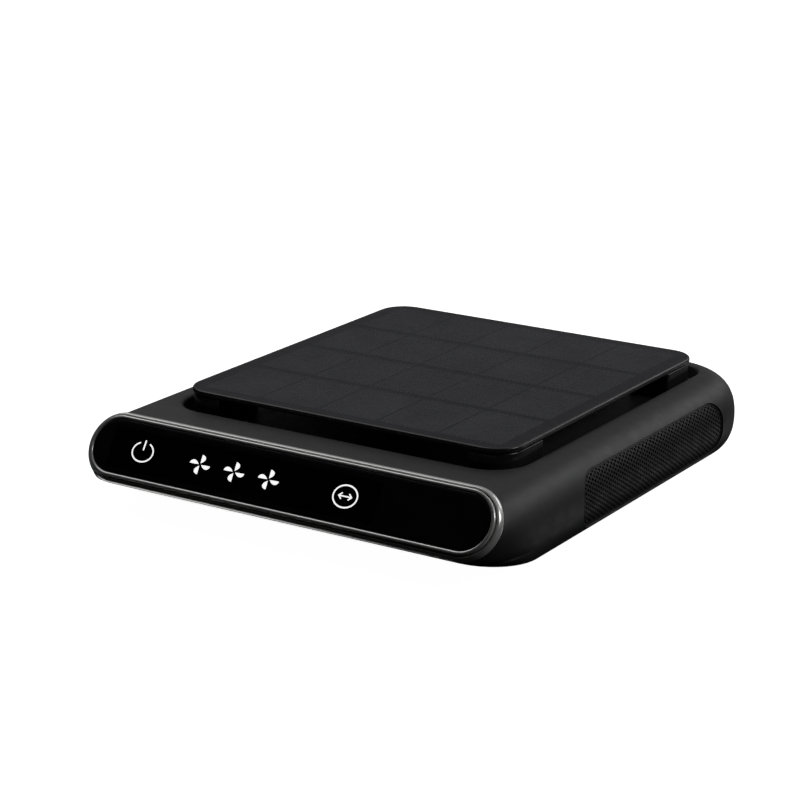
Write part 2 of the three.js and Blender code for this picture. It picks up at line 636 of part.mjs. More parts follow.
function addFilterDoors() {
  const outside = caseBody(DOOR_SINK);
  const inside = caseBody(DOOR_SINK + DOOR_SKIN);
  for (const side of SIDES) {
    const far = side.sign * BODY_WIDTH;
    const door = toSolid(prismX(doorShape(PLAY), side.sign * (FILTER_OUTER_X + TOUCH), far));
    const doorHollow = toSolid(prismX(doorShape(PLAY + DOOR_SKIRT), side.sign * (FILTER_OUTER_X - 1), far));
    const cover = outside.intersect(door).subtract(inside.intersect(doorHollow));
    addPiece(`filter_door_${side.name}`, toGeometry(cover), 0x18181a, 0.6);

    const bayShape = roundedShape(
      DOOR_CENTRE_Y - DOOR_LENGTH / 2 - BAY_WALL, DOOR_CENTRE_Y + DOOR_LENGTH / 2 + BAY_WALL,
      DOOR_BASE - BAY_WALL, DOOR_BASE + DOOR_HEIGHT + BAY_WALL, DOOR_ROUND + BAY_WALL);
    const inX = side.sign * BAY_INNER_X;
    const bay = toSolid(prismX(bayShape, inX, side.sign * (FILTER_OUTER_X - 2 * TOUCH)))
      .subtract(toSolid(prismX(doorShape(0), side.sign * (BAY_INNER_X + BAY_WALL), far)))
      .subtract(toSolid(prismX(doorShape(BAY_LIP), inX - side.sign, far)))
      .intersect(caseBody(WALL + TOUCH));
    addPiece(`filter_bay_${side.name}`, toGeometry(bay), 0x202022, 0.6);

    const frame = toSolid(prismX(doorShape(PLAY), side.sign * FILTER_INNER_X, side.sign * FILTER_OUTER_X))
      .subtract(toSolid(prismX(doorShape(PLAY + FILTER_WALL), side.sign * (FILTER_INNER_X - 1), far)));
    addPiece(`filter_frame_${side.name}`, toGeometry(frame), 0x2a2a2c, 0.6);
    addPiece(`filter_media_${side.name}`, filterMedia(side.sign), 0x303133, 0.9);
  }
}

// Pleated filter paper: a zigzag in plan, as high as the frame leaves.
function filterMedia(sign) {
  const clear = PLAY + FILTER_WALL + TOUCH;
  const y0 = DOOR_CENTRE_Y - DOOR_LENGTH / 2 + clear;
  const y1 = DOOR_CENTRE_Y + DOOR_LENGTH / 2 - clear;
  const inner = sign * (FILTER_INNER_X + MEDIA_MARGIN);
  const outer = sign * (FILTER_OUTER_X - MEDIA_MARGIN - MEDIA_SKIN);
  const near = [];
  const far = [];
  for (let i = 0; i <= 2 * PLEATS; i += 1) {
    const y = y0 + (y1 - y0) * i / (2 * PLEATS);
    const x = i % 2 === 0 ? inner : outer;
    near.push(new THREE.Vector2(x, y));
    far.push(new THREE.Vector2(x + sign * MEDIA_SKIN, y));
  }
  const sheet = new THREE.Shape([...near, ...far.reverse()]);
  const pleated = toSolid(slab(sheet, DOOR_BASE, DOOR_BASE + DOOR_HEIGHT));
  const space = toSolid(prismX(doorShape(clear), inner - sign, outer + 2 * sign));
  return toGeometry(pleated.intersect(space));
}

function addBlower() {
  const blower = (solid) => toGeometry(solid).translate(0, BLOWER_Y, 0);
  const innerWall = HOUSING_RADIUS - HOUSING_WALL;
  const bowl = toSolid(turned([
    [0, HOUSING_Z],
    [HOUSING_RADIUS, HOUSING_Z],
    [HOUSING_RADIUS, HOUSING_TOP - HOUSING_FLOOR],
    [HOUSING_RADIUS + HOUSING_FLANGE, HOUSING_TOP - HOUSING_FLOOR],
    [HOUSING_RADIUS + HOUSING_FLANGE, HOUSING_TOP],
    [innerWall, HOUSING_TOP],
    [innerWall, HOUSING_DECK],
    [SPINDLE_RADIUS, HOUSING_DECK],
    [SPINDLE_RADIUS, SPINDLE_TOP],
    [BEARING_RADIUS + TOUCH, SPINDLE_TOP],
    [BEARING_RADIUS + TOUCH, HOUSING_DECK - HOUSING_FLOOR / 2],
    [0, HOUSING_DECK - HOUSING_FLOOR / 2],
  ]));
  const inlet = toSolid(ring(STATOR_RADIUS + 1, IMPELLER_EYE, HOUSING_Z - 1, HOUSING_DECK + 1));
  const spokes = [];
  for (let i = 0; i < SPOKES; i += 1) {
    const spoke = box(STATOR_RADIUS - 1, IMPELLER_EYE + 2, -SPOKE_WIDTH / 2, SPOKE_WIDTH / 2,
      HOUSING_Z, HOUSING_DECK);
    spokes.push(toSolid(spoke.rotateZ(2 * Math.PI * (i + 0.5) / SPOKES)));
  }
  addPiece('blower_housing', blower(join(bowl.subtract(inlet), ...spokes)), 0x28282a, 0.6);

  const lowBearing = HOUSING_DECK - HOUSING_FLOOR / 2 + TOUCH;
  const bearingBore = SHAFT_RADIUS + SHAFT_RUNNING_FIT;
  const bearing = (z0) => toSolid(ring(bearingBore, BEARING_RADIUS, z0, z0 + BEARING_HEIGHT));
  addPiece('bearing_lower', blower(bearing(lowBearing)), 0xb08a4a, 0.4, 0.8);
  addPiece('bearing_upper', blower(bearing(lowBearing + BEARING_HEIGHT + BEARING_SPACE)), 0xb08a4a, 0.4, 0.8);
  const boreTop = IMPELLER_TOP - IMPELLER_PLATE / 2;
  addPiece('motor_shaft', blower(toSolid(rod(0, 0, lowBearing + TOUCH, boreTop - TOUCH, SHAFT_RADIUS, 24))),
    0xc0c0c2, 0.25, 1);

  const statorShape = new THREE.Shape();
  const step = 2 * Math.PI / STATOR_TEETH;
  for (let i = 0; i < STATOR_TEETH; i += 1) {
    const spans = [[-TOOTH_SHARE, STATOR_RADIUS], [TOOTH_SHARE, STATOR_RADIUS],
      [SLOT_SHARE, STATOR_RADIUS - TOOTH_DEPTH], [1 - SLOT_SHARE, STATOR_RADIUS - TOOTH_DEPTH]];
    for (const [share, r] of spans) {
      const angle = (i + share) * step;
      const go = statorShape.currentPoint.length() === 0 ? 'moveTo' : 'lineTo';
      statorShape[go](r * Math.cos(angle), r * Math.sin(angle));
    }
  }
  statorShape.closePath();
  const stator = toSolid(slab(statorShape, HOUSING_DECK + TOUCH, SPINDLE_TOP - TOUCH))
    .subtract(toSolid(rod(0, 0, 0, TOP_Z, SPINDLE_RADIUS + TOUCH, 36)));
  addPiece('motor_stator', blower(stator), 0x9a5a2a, 0.5, 0.6);
  addPiece('motor_magnet', blower(toSolid(ring(MAGNET_INNER, MAGNET_OUTER, IMPELLER_BASE + MAGNET_LIFT,
    PLATE_UNDER - TOUCH))), 0x3a3a3c, 0.5, 0.4);

  const cup = toSolid(turned([
    [0, IMPELLER_TOP],
    [IMPELLER_RADIUS, IMPELLER_TOP],
    [IMPELLER_RADIUS, PLATE_UNDER],
    [CUP_RADIUS, PLATE_UNDER],
    [CUP_RADIUS, IMPELLER_BASE],
    [CUP_RADIUS - CUP_WALL, IMPELLER_BASE],
    [CUP_RADIUS - CUP_WALL, PLATE_UNDER],
    [HUB_RADIUS, PLATE_UNDER],
    [HUB_RADIUS, HUB_BASE],
    [SHAFT_RADIUS + TOUCH, HUB_BASE],
    [SHAFT_RADIUS + TOUCH, boreTop],
    [0, boreTop],
  ].reverse()));
  const shroud = toSolid(ring(IMPELLER_EYE, IMPELLER_RADIUS, IMPELLER_BASE, IMPELLER_BASE + SHROUD_THICK));
  const blades = [];
  for (let i = 0; i < BLADES; i += 1) {
    const length = IMPELLER_RADIUS - IMPELLER_EYE - 1;
    const blade = box(-length / 2, length / 2, -BLADE_THICK / 2, BLADE_THICK / 2,
      IMPELLER_BASE + SHROUD_THICK / 2, PLATE_UNDER + IMPELLER_PLATE / 2);
    blade.rotateZ(-rad(BLADE_TURN_DEG)).translate((IMPELLER_EYE + IMPELLER_RADIUS) / 2, 0, 0);
    blades.push(toSolid(blade.rotateZ(2 * Math.PI * i / BLADES)));
  }
  addPiece('impeller', blower(join(cup, shroud, ...blades)), 0x8e8e90, 0.5);
}

function addElectronics() {
  const low = FLOOR_Z + TOUCH;
  const cellZ = low + HOLDER_WALL + TOUCH + CELL_RADIUS;
  const side = CELL_RADIUS + TOUCH;
  const rearCell = caseRearAt(low, WALL) - CELL_REAR_GAP - HOLDER_WALL - side;
  const cellYs = [rearCell - CELL_PITCH, rearCell];
  const holderHalf = CELL_LENGTH / 2 + TOUCH + HOLDER_WALL;
  const holder = toSolid(box(CELL_X - holderHalf, CELL_X + holderHalf,
    cellYs[0] - side - HOLDER_WALL, cellYs[1] + side + HOLDER_WALL, low, low + HOLDER_HEIGHT));
  const cradleHalf = CELL_LENGTH / 2 + TOUCH;
  const cradles = cellYs.map((y) => toSolid(rod(0, 0, -cradleHalf, cradleHalf, side, 24)
    .rotateY(Math.PI / 2).translate(CELL_X, y, cellZ)));
  addPiece('battery_holder', toGeometry(cut(holder, ...cradles)), 0x303032, 0.6);
  cellYs.forEach((y, i) => {
    const cell = rod(0, 0, -CELL_LENGTH / 2, CELL_LENGTH / 2, CELL_RADIUS, 24).rotateY(Math.PI / 2);
    addPiece(`battery_cell_${i + 1}`, cell.translate(CELL_X, y, cellZ), 0x2f6fb0, 0.4);
  });

  const boardZ = FLOOR_Z + MAIN_BOARD.lift;
  const m = MAIN_BOARD;
  const main = join(
    toSolid(box(m.x - m.width / 2, m.x + m.width / 2, m.y - m.length / 2, m.y + m.length / 2,
      boardZ, boardZ + PCB)),
    toSolid(box(m.x - 14, m.x - 4, m.y - 5, m.y + 5, boardZ, boardZ + PCB + 1.2)),
    toSolid(box(m.x + 4, m.x + 12, m.y + 4, m.y + 12, boardZ, boardZ + PCB + 4)),
    toSolid(rod(m.x + 12, m.y - 10, boardZ, boardZ + PCB + 9, 4, 16)),
  );
  addPiece('main_board', toGeometry(main), 0x14402a, 0.6);

  const moduleZ = FLOOR_Z + MODULE_LIFT;
  const s = AIR_SENSOR;
  const sensor = toSolid(box(s.x - s.width / 2, s.x + s.width / 2, s.y - s.length / 2, s.y + s.length / 2,
    moduleZ, moduleZ + s.height))
    .subtract(toSolid(rod(s.x, s.y, moduleZ + s.height - 2, moduleZ + s.height + 1, 6)));
  addPiece('air_sensor', toGeometry(sensor), 0x8c9298, 0.4, 0.7);

  const n = ION_BOX;
  addPiece('ion_generator', box(n.x - n.width / 2, n.x + n.width / 2, n.y - n.length / 2, n.y + n.length / 2,
    moduleZ, moduleZ + n.height), 0x1c1c1e, 0.5);

  const c = CHARGE_BOARD;
  addPiece('charge_board', box(c.x - c.width / 2, c.x + c.width / 2,
    CHARGE_Y - c.length / 2, CHARGE_Y + c.length / 2,
    USB_Z - TOUCH - PCB, USB_Z - TOUCH), 0x14402a, 0.6);
  const mouth = BODY_BACK - USB.sink;
  const hw = USB.width / 2;
  const shell = toSolid(box(c.x - hw, c.x + hw, mouth - USB.length, mouth, USB_Z, USB_Z + USB.height))
    .subtract(toSolid(box(c.x - hw + USB.wall, c.x + hw - USB.wall, mouth - USB.length + 1, mouth + 1,
      USB_Z + USB.wall, USB_Z + USB.height - USB.wall)));
  addPiece('usb_socket', toGeometry(shell), 0xb4b4b6, 0.3, 1);
}

function addFastenersAndFeet() {
  for (const { name, x, y } of caseScrews) {
    const z = BASE_Z + TOUCH;
    const screw = join(
      toSolid(rod(x, y, z, z + SCREW_HEAD_HEIGHT, SCREW_HEAD, 16)),
      toSolid(rod(x, y, z + SCREW_HEAD_HEIGHT / 2, z + SCREW_LENGTH, SCREW_SHANK, 12)),
    );
    addPiece(`case_screw_${name}`, toGeometry(screw), 0x8a8a8c, 0.4, 1);
  }
  for (const { name, x, y } of footCentres) {
    const foot = turned([
      [0, 0],
      [FOOT.radius - FOOT.chamfer, 0],
      [FOOT.radius, FOOT.chamfer],
      [FOOT.radius, BASE_Z + FOOT.pocket - TOUCH],
      [0, BASE_Z + FOOT.pocket - TOUCH],
    ], 24).translate(x, y, 0);
    addPiece(`foot_${name}`, toGeometry(toSolid(foot)), 0x1a1a1a, 0.9);
  }
}

addCase();
addDisplay();
addSolarPanel();
addOutlet();
addFilterDoors();
addBlower();
addElectronics();
addFastenersAndFeet();

// The origin is on the ground under the middle of the whole object.
const bounds = new THREE.Box3().setFromObject(model);
const middle = bounds.getCenter(new THREE.Vector3());
model.position.set(-middle.x, -middle.y, -bounds.min.z);

export default model;
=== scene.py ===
"""Finished look of a solar powered air purifier that stands on a car's rear shelf.

The packed part is the fixed frame. Each operator makes one piece, or one group of like
pieces, in metres, where the frame's own pieces say. Shapes are worked out in millimetres
with +X right, +Y towards the back from the display's middle, and +Z up from the ground.
"""

import json
import math

import bmesh
import bpy
import numpy as np
from bpy.props import FloatProperty, FloatVectorProperty, IntProperty, PointerProperty
from mathutils import Matrix, Vector


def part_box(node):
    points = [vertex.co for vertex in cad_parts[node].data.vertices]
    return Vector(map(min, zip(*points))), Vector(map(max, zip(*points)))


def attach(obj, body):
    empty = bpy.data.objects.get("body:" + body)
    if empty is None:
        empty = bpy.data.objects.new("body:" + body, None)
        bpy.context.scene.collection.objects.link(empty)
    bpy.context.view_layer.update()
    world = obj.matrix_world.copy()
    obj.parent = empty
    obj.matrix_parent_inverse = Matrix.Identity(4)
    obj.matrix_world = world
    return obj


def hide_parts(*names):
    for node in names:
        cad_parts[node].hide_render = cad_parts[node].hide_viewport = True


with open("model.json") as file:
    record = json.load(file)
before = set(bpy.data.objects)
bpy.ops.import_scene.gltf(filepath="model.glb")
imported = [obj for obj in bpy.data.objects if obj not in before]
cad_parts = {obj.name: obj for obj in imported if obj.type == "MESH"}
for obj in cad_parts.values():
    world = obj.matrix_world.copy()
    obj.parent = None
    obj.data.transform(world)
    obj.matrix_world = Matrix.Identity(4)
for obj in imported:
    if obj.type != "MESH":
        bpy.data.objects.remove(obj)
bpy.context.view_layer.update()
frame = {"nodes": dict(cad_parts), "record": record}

bl_info = {
    "name": "Solar car air purifier",
    "version": (1, 0, 0),
    "blender": (4, 5, 0),
    "location": "3D View > Sidebar > Purifier",
    "description": "Builds a solar powered car air purifier piece by piece",
    "category": "Object",
}

MM = 0.001
TURN = 2 * math.pi


# ------------------------------------------------------------------ sizes and colours


def length(name, description, default):
    return FloatProperty(
        name=name,
        description=description,
        default=default,
        min=0.0,
        precision=5,
        subtype="DISTANCE",
        unit="LENGTH",
    )


def angle(name, description, degrees):
    return FloatProperty(
        name=name,
        description=description,
        default=math.radians(degrees),
        subtype="ANGLE",
        unit="ROTATION",
    )


def number(name, description, default):
    return FloatProperty(name=name, description=description, default=default, min=0.0)


def count(name, description, default):
    return IntProperty(name=name, description=description, default=default, min=1)


def tint(name, description, default):
    return FloatVectorProperty(
        name=name,
        description=description,
        default=default,
        size=3,
        min=0.0,
        max=1.0,
        subtype="COLOR",
    )


class PurifierCaseSizes(bpy.types.PropertyGroup):
    """Sizes of the case and of what is cut into it."""

    width: length("Width", "Case, side to side at its widest", 0.225)
    back: length("Back", "From the glass to the case's back", 0.2478)
    height: length("Height", "Case without its feet", 0.0394)
    foot_stand: length("Foot stand", "How far the feet lift the case", 0.0016)
    side_round: length("Side rounding", "Width of the rounded sides", 0.019)
    round_power: number("Side fullness", "Power of the sides' rounded section", 2.35)
    rear_corner: length("Rear corner", "Radius of the rear corners in plan", 0.0395)
    nose_reach: length("Nose reach", "Length of the underside's front curve", 0.088)
    nose_start: angle("Nose start", "Where the front curve starts", 38)
    corner_end_top: length("Corner end", "From the glass to the front corner's end, at the top", 0.0165)
    corner_end_nose: length("Lower corner end", "The same at the bezel's lower edge", 0.026)
    corner_start: angle("Corner start", "How far round the front corner starts", 35)
    nose_corner: length("Nose corner", "Sweep of the corner at the bottom", 0.0105)
    wall: length("Wall", "Thickness of both case halves", 0.0022)
    parting: length("Parting line", "Height of the joint of the halves", 0.0066)
    fit: length("Fit", "Gap between neighbouring pieces", 0.0003)
    recess_half: length("Recess half width", "Middle to the recess's side", 0.0914)
    recess_front: length("Recess front", "From the glass to the recess", 0.0368)
    recess_back: length("Recess back", "From the glass to the recess's end", 0.2319)
    recess_corner: length("Recess corner", "Radius of its corners in plan", 0.018)
    recess_depth: length("Recess depth", "Below the case's top", 0.008)
    rim_round: length("Recess rim", "Rounding of the recess's edge", 0.002)
    outlet_radius: length("Outlet radius", "Opening over the blower", 0.05285)
    blower_back: length("Blower place", "From the glass to the blower", 0.136)
    foot_radius: length("Foot radius", "Rubber feet", 0.007)
    foot_half: length("Foot place", "Middle to a foot", 0.074)
    foot_front: length("Front feet", "From the glass to the front feet", 0.082)
    foot_back: length("Rear feet", "From the glass to the rear feet", 0.204)


class PurifierDisplaySizes(bpy.types.PropertyGroup):
    """Sizes of the leaning display and its two bright rings."""

    lean: angle("Lean", "Display's tilt back from upright", 33.1)
    end_centre: length("End centre", "Middle to the round ends' centre", 0.0924)
    glass_radius: length("Glass radius", "Half of the glass's height", 0.01255)
    glass_thick: length("Glass thickness", "Touch glass", 0.0018)
    trim_inner: length("Trim inside", "Radius inside the inner ring", 0.01275)
    trim_outer: length("Trim outside", "Radius outside the inner ring", 0.0145)
    bezel_inner: length("Bezel inside", "Radius inside the outer ring", 0.0149)
    bezel_radius: length("Bezel outside", "Radius outside the outer ring", 0.0168)
    setback: length("Setback", "Glass in front of the case's face", 0.0042)
    spigot: length("Spigot", "Depth of the bezel behind the glass", 0.007)
    window_left: length("Window left", "Middle to the window's left end", 0.0953)
    window_right: length("Window right", "Middle to its right end", 0.0502)
    window_low: length("Window low", "Middle to its lower edge", 0.0101)
    window_high: length("Window high", "Middle to its upper edge", 0.0092)
    symbol_width: length("Symbol width", "Power symbol", 0.0122)
    symbol_height: length("Symbol height", "Power symbol", 0.0098)
    fan_width: length("Fan width", "Fan symbols", 0.0113)
    fan_height: length("Fan height", "Fan symbols", 0.0091)
    symbol_drop: length("Symbol drop", "Symbols below the display's middle line", 0.00035)
    stroke: length("Stroke", "Line width of the symbols", 0.0007)


class PurifierPanelSizes(bpy.types.PropertyGroup):
    """Sizes of the solar panel and its posts."""

    half_width: length("Half width", "Middle to the panel's side", 0.0883)
    front: length("Front", "From the glass to the panel", 0.043)
    back: length("Back", "From the glass to the panel's back", 0.2257)
    top: length("Top", "Height above the ground", 0.0483)
    thick: length("Thickness", "Tray with its laminate", 0.0024)
    corner: length("Corner", "Radius of the corners", 0.0136)
    rim: length("Rim", "Width of the tray's rim", 0.0012)
    columns: count("Columns", "Cells across", 5)
    rows: count("Rows", "Cells from front to back", 4)
    column_pitch: length("Column pitch", "Cell to cell across", 0.0322)
    row_pitch: length("Row pitch", "Cell to cell front to back", 0.0432)
    column_gap: length("Column gap", "Between columns", 0.0011)
    row_gap: length("Row gap", "Between rows", 0.0032)
    fingers: count("Fingers", "Contact lines on a cell", 13)
    finger_width: length("Finger width", "Contact line", 0.0005)
    post_width: length("Post width", "Across", 0.021)
    post_length: length("Post length", "Front to back", 0.0315)
    post_inset: length("Post inset", "Inside the panel's edge", 0.0005)


class PurifierDoorSizes(bpy.types.PropertyGroup):
    """Sizes of the side filter doors and the filters behind them."""

    length: length("Length", "Door, front to back", 0.137)
    height: length("Height", "Door", 0.0262)
    corner: length("Corner", "Radius of the corners", 0.011)
    centre: length("Centre", "From the glass to its middle", 0.136)
    base: length("Base", "Lower edge above the ground", 0.0084)
    sink: length("Sink", "Below the case's surface", 0.0006)
    band: length("Band", "Plain edge round the holes", 0.0008)
    skirt: length("Skirt", "Thickness of the door's edge wall", 0.0013)
    skin: length("Skin", "Thickness of the perforated sheet", 0.0009)
    hole_pitch: length("Hole pitch", "Hole to hole", 0.00215)
    hole_width: length("Hole width", "Across a hole", 0.00158)
    lip: length("Lip radius", "Rounded edge round the door", 0.00032)
    frame_wall: length("Frame wall", "Filter frame", 0.0015)
    pleats: count("Pleats", "Folds in a filter", 26)


class PurifierFinishes(bpy.types.PropertyGroup):
    """Colours of the finishes."""

    case: tint("Case", "Fine grained black plastic", (0.017, 0.017, 0.018))
    chrome: tint("Chrome", "Bright rings", (0.72, 0.72, 0.71))
    glass: tint("Glass", "Printed black glass", (0.007, 0.007, 0.009))
    window: tint("Window", "Clear part in front of the lamps", (0.0006, 0.0006, 0.0008))
    symbol: tint("Symbols", "Lit symbols", (1.0, 1.0, 1.0))
    tray: tint("Tray", "Panel's satin tray", (0.012, 0.012, 0.013))
    cell: tint("Cells", "Solar cells under the film", (0.030, 0.0305, 0.037))
    film: tint("Film", "Film between the cells", (0.018, 0.0185, 0.023))
    finger: tint("Fingers", "Contact lines", (0.10, 0.10, 0.115))
    post: tint("Posts", "Satin black posts", (0.012, 0.012, 0.0125))
    filter: tint("Filter", "Charcoal coated filter paper", (0.035, 0.036, 0.038))


class PurifierStudio(bpy.types.PropertyGroup):
    """Floor, lights and camera."""

    floor_size: length("Floor size", "Side of the square floor", 6.0)
    floor_glow: number("Floor glow", "Evenness of the pale floor", 0.99)
    room: number("Room light", "Soft light from above and behind", 0.25)
    camera_back: FloatVectorProperty(
        name="Camera place",
        description="From the display's middle to the camera",
        default=(0.5791, -0.7958, 0.33926),
        size=3,
        subtype="TRANSLATION",
        unit="LENGTH",
    )
    lens: number("Lens", "Focal length in millimetres", 107.9)


GROUPS = {
    "purifier_case": PurifierCaseSizes,
    "purifier_display": PurifierDisplaySizes,
    "purifier_panel": PurifierPanelSizes,
    "purifier_doors": PurifierDoorSizes,
    "purifier_finishes": PurifierFinishes,
    "purifier_studio": PurifierStudio,
}


# -------------------------------------------------------------- places and flat shapes


def mm(metres):
    return metres / MM


def glass_middle():
    """Middle of the glass's outer face, in the frame, from the packed glass."""
    low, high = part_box("touch_glass")
    lean = bpy.context.scene.purifier_display.lean
    half = bpy.context.scene.purifier_display.glass_thick / 2
    centre = (low + high) / 2
    return centre + Vector((0, -math.cos(lean), math.sin(lean))) * half


def to_frame(points):
    """Millimetres counted from the display's middle to metres in the frame."""
    shift = np.array([0.0, mm(glass_middle().y), 0.0])
    return (np.asarray(points, float).reshape(-1, 3) + shift) * MM


def on_face(points):
    """[along, up, out] on the leaning display to case millimetres."""
    lean = bpy.context.scene.purifier_display.lean
    along, up, out = np.asarray(points, float).reshape(-1, 3).T
    y = up * math.sin(lean) - out * math.cos(lean)
    z = mm(glass_middle().z) + up * math.cos(lean) + out * math.sin(lean)
    return np.stack([along, y, z], axis=1)


def arc(cx, cy, radius, start, end, steps):
    """Points on an arc in plan; angles in quarter turns."""
    turns = np.linspace(start, end, steps + 1) * math.pi / 2
    return np.stack([cx + radius * np.cos(turns), cy + radius * np.sin(turns)], axis=1)


def rounded_rectangle(x0, x1, y0, y1, radii, steps=10):
    """Outline, anticlockwise, with a point beside each corner to keep the flats flat.

    radii are at the right rear, left rear, left front and right front corners."""
    if np.isscalar(radii):
        radii = [radii] * 4
    ends = [(x1, y1, -1, -1), (x0, y1, 1, -1), (x0, y0, 1, 1), (x1, y0, -1, 1)]
    outline = []
    for quarter, ((x, y, sx, sy), r) in enumerate(zip(ends, radii)):
        corner = arc(x + sx * r, y + sy * r, r, quarter, quarter + 1, steps)
        before = corner[0] - (corner[1] - corner[0]) / max(np.linalg.norm(corner[1] - corner[0]), 1e-6) * 0.3
        after = corner[-1] + (corner[-1] - corner[-2]) / max(
            np.linalg.norm(corner[-1] - corner[-2]), 1e-6
        ) * 0.3
        outline.append(np.vstack([before, corner, after]))
    return np.vstack(outline)


def level(outline, z):
    return np.column_stack([outline, np.full(len(outline), float(z))])


class CaseForm:
    """The case's rounded surface, in millimetres, worked out from its sizes."""

    FRONT_STEPS = 10
    REAR_STEPS = 18
    SIDE_SHARES = (0.004, 0.2, 0.4, 0.6, 0.8, 0.992)

    def __init__(self, scene):
        case, display = scene.purifier_case, scene.purifier_display
        self.half_width = mm(case.width) / 2
        self.back = mm(case.back)
        self.half_height = mm(case.height) / 2
        self.base = mm(case.foot_stand)
        self.middle = self.base + self.half_height
        self.top = self.base + 2 * self.half_height
        self.round = mm(case.side_round)
        self.power = case.round_power
        self.rear_corner = mm(case.rear_corner)
        self.nose_reach = mm(case.nose_reach)
        self.nose_start = case.nose_start
        self.corner_end_top = mm(case.corner_end_top)
        self.corner_end_nose = mm(case.corner_end_nose)
        self.corner_start = case.corner_start
        self.nose_corner = mm(case.nose_corner)
        self.sin, self.cos = math.sin(display.lean), math.cos(display.lean)
        self.face_radius = mm(display.bezel_radius)
        self.end_centre = mm(display.end_centre)
        setback = mm(display.setback)
        self.face_y = setback * self.cos
        self.face_z = mm(glass_middle().z) - setback * self.sin
        self.nose_y = self.face_y - self.face_radius * self.sin
        self.nose_z = self.face_z - self.face_radius * self.cos

    def draw_at(self, height, inset=0.0):
        """How far the sides have drawn in at a height from the middle."""
        up = min(1.0, abs(height) / (self.half_height - inset))
        return (self.round - inset) * (1 - (1 - up**self.power) ** (1 / self.power))

    def height_at(self, draw, inset=0.0):
        """Height above the middle where the sides have drawn in so far."""
        left = max(0.0, 1 - draw / (self.round - inset))
        return (self.half_height - inset) * (1 - left**self.power) ** (1 / self.power)

    def side_x(self, z, inset=0.0):
        return self.half_width - inset - self.draw_at(z - self.middle, inset)

    def top_z(self, x, y, inset=0.0):
        """Height of the upper surface over a place behind the front corners."""
        centre_x = self.half_width - self.rear_corner
        centre_y = self.back - self.rear_corner
        across, along = abs(x) - centre_x, y - centre_y
        if across > 0 and along > 0:
            draw = self.rear_corner - math.hypot(across, along)
        else:
            draw = min(self.half_width - abs(x), self.back - y)
        return self.middle + self.height_at(max(0.0, draw - inset), inset)

    def outline(self, height, inset=0.0):
        """The case's outline at one height from the middle, anticlockwise."""
        draw = self.draw_at(height, inset)
        width = self.half_width - inset - draw
        back = self.back - inset - draw
        corner = max(self.rear_corner - inset - draw, 1.0)
        z = self.middle + height
        front, face, first = self.face_y, self.end_centre, 0.0
        sweep = self.corner_end_nose - self.nose_y
        if z >= self.nose_z:
            along = (z - self.face_z) / self.cos
            rise = (z - self.nose_z) / (self.top - self.nose_z)
            front += along * self.sin
            face += math.sqrt(max(0.0, (self.face_radius - inset) ** 2 - along**2))
            end = self.corner_end_nose + (self.corner_end_top - self.corner_end_nose) * rise
            sweep = end - front
            first = self.corner_start * min(1.0, 2 * rise)
        else:
            bottom = self.middle - self.half_height + inset
            down = min(1.0, (self.nose_z - z) / (self.nose_z - bottom))
            start = math.sin(self.nose_start)
            sine = start + down * (1 - start)
            cosine = math.sqrt(max(0.0, 1 - sine**2))
            front = self.nose_y + self.nose_reach * (math.cos(self.nose_start) - cosine)
            sweep += (self.nose_corner - sweep) * math.sqrt(down)
        front += inset / self.cos
        face = min(face, width - 0.4)
        turns = np.linspace(first, math.pi / 2, self.FRONT_STEPS + 1)
        across = (np.sin(turns) - math.sin(first)) / (1 - math.sin(first))
        along = 1 - np.cos(turns) / math.cos(first)
        half = [(0.4 * face, front), (face - 0.6, front)]
        half += [(face + (width - face) * a, front + sweep * b) for a, b in zip(across, along)]
        y0, y1 = front + sweep, back - corner
        half += [(width, y0 + (y1 - y0) * share) for share in self.SIDE_SHARES]
        half += arc(width - corner, y1, corner, 0, 1, self.REAR_STEPS).tolist()
        half += [(width - corner - 0.6, back), (0.4 * (width - corner), back)]
        return self.mirrored(half, z)

    def mirrored(self, half, z):
        right = level(np.array(half), z)
        left = right[::-1] * (-1, 1, 1)
        return np.vstack([right, left])

    def recess_outline(self, scene, outset, z):
        """The recess's outline moved outwards, with the same points as outline()."""
        case = scene.purifier_case
        half_x = mm(case.recess_half) + outset
        y0, y1 = mm(case.recess_front) - outset, mm(case.recess_back) + outset
        r = mm(case.recess_corner) + outset
        half = [(0.4 * (half_x - r), y0), (half_x - r - 0.6, y0)]
        half += arc(half_x - r, y0 + r, r, -1, 0, self.FRONT_STEPS).tolist()
        straight = y1 - y0 - 2 * r
        half += [(half_x, y0 + r + straight * share) for share in self.SIDE_SHARES]
        half += arc(half_x - r, y1 - r, r, 0, 1, self.REAR_STEPS).tolist()
        half += [(half_x - r - 0.6, y1), (0.4 * (half_x - r), y1)]
        return self.mirrored(half, z)

    def levels(self, low, high, inset=0.0):
        """Heights of the rows, closest together where the surface turns fastest."""
        radius = self.face_radius - inset
        zs = list(np.linspace(low, self.nose_z, 9))
        for turn in np.radians(np.arange(0, 180, 7)):
            zs.append(self.face_z - radius * math.cos(turn) * self.cos)
        for draw in np.linspace(0, self.round - inset, 40):
            zs.append(self.middle + self.height_at(draw, inset))
            zs.append(self.middle - self.height_at(draw, inset))
        inside = sorted(z for z in zs if low < z < high - 0.15)
        rows = [low]
        for z in inside:
            if z - rows[-1] > 0.18 or abs(z - self.nose_z) < 1e-6:
                rows.append(z)
        return rows + [high]


# ----------------------------------------------------------------------- mesh helpers


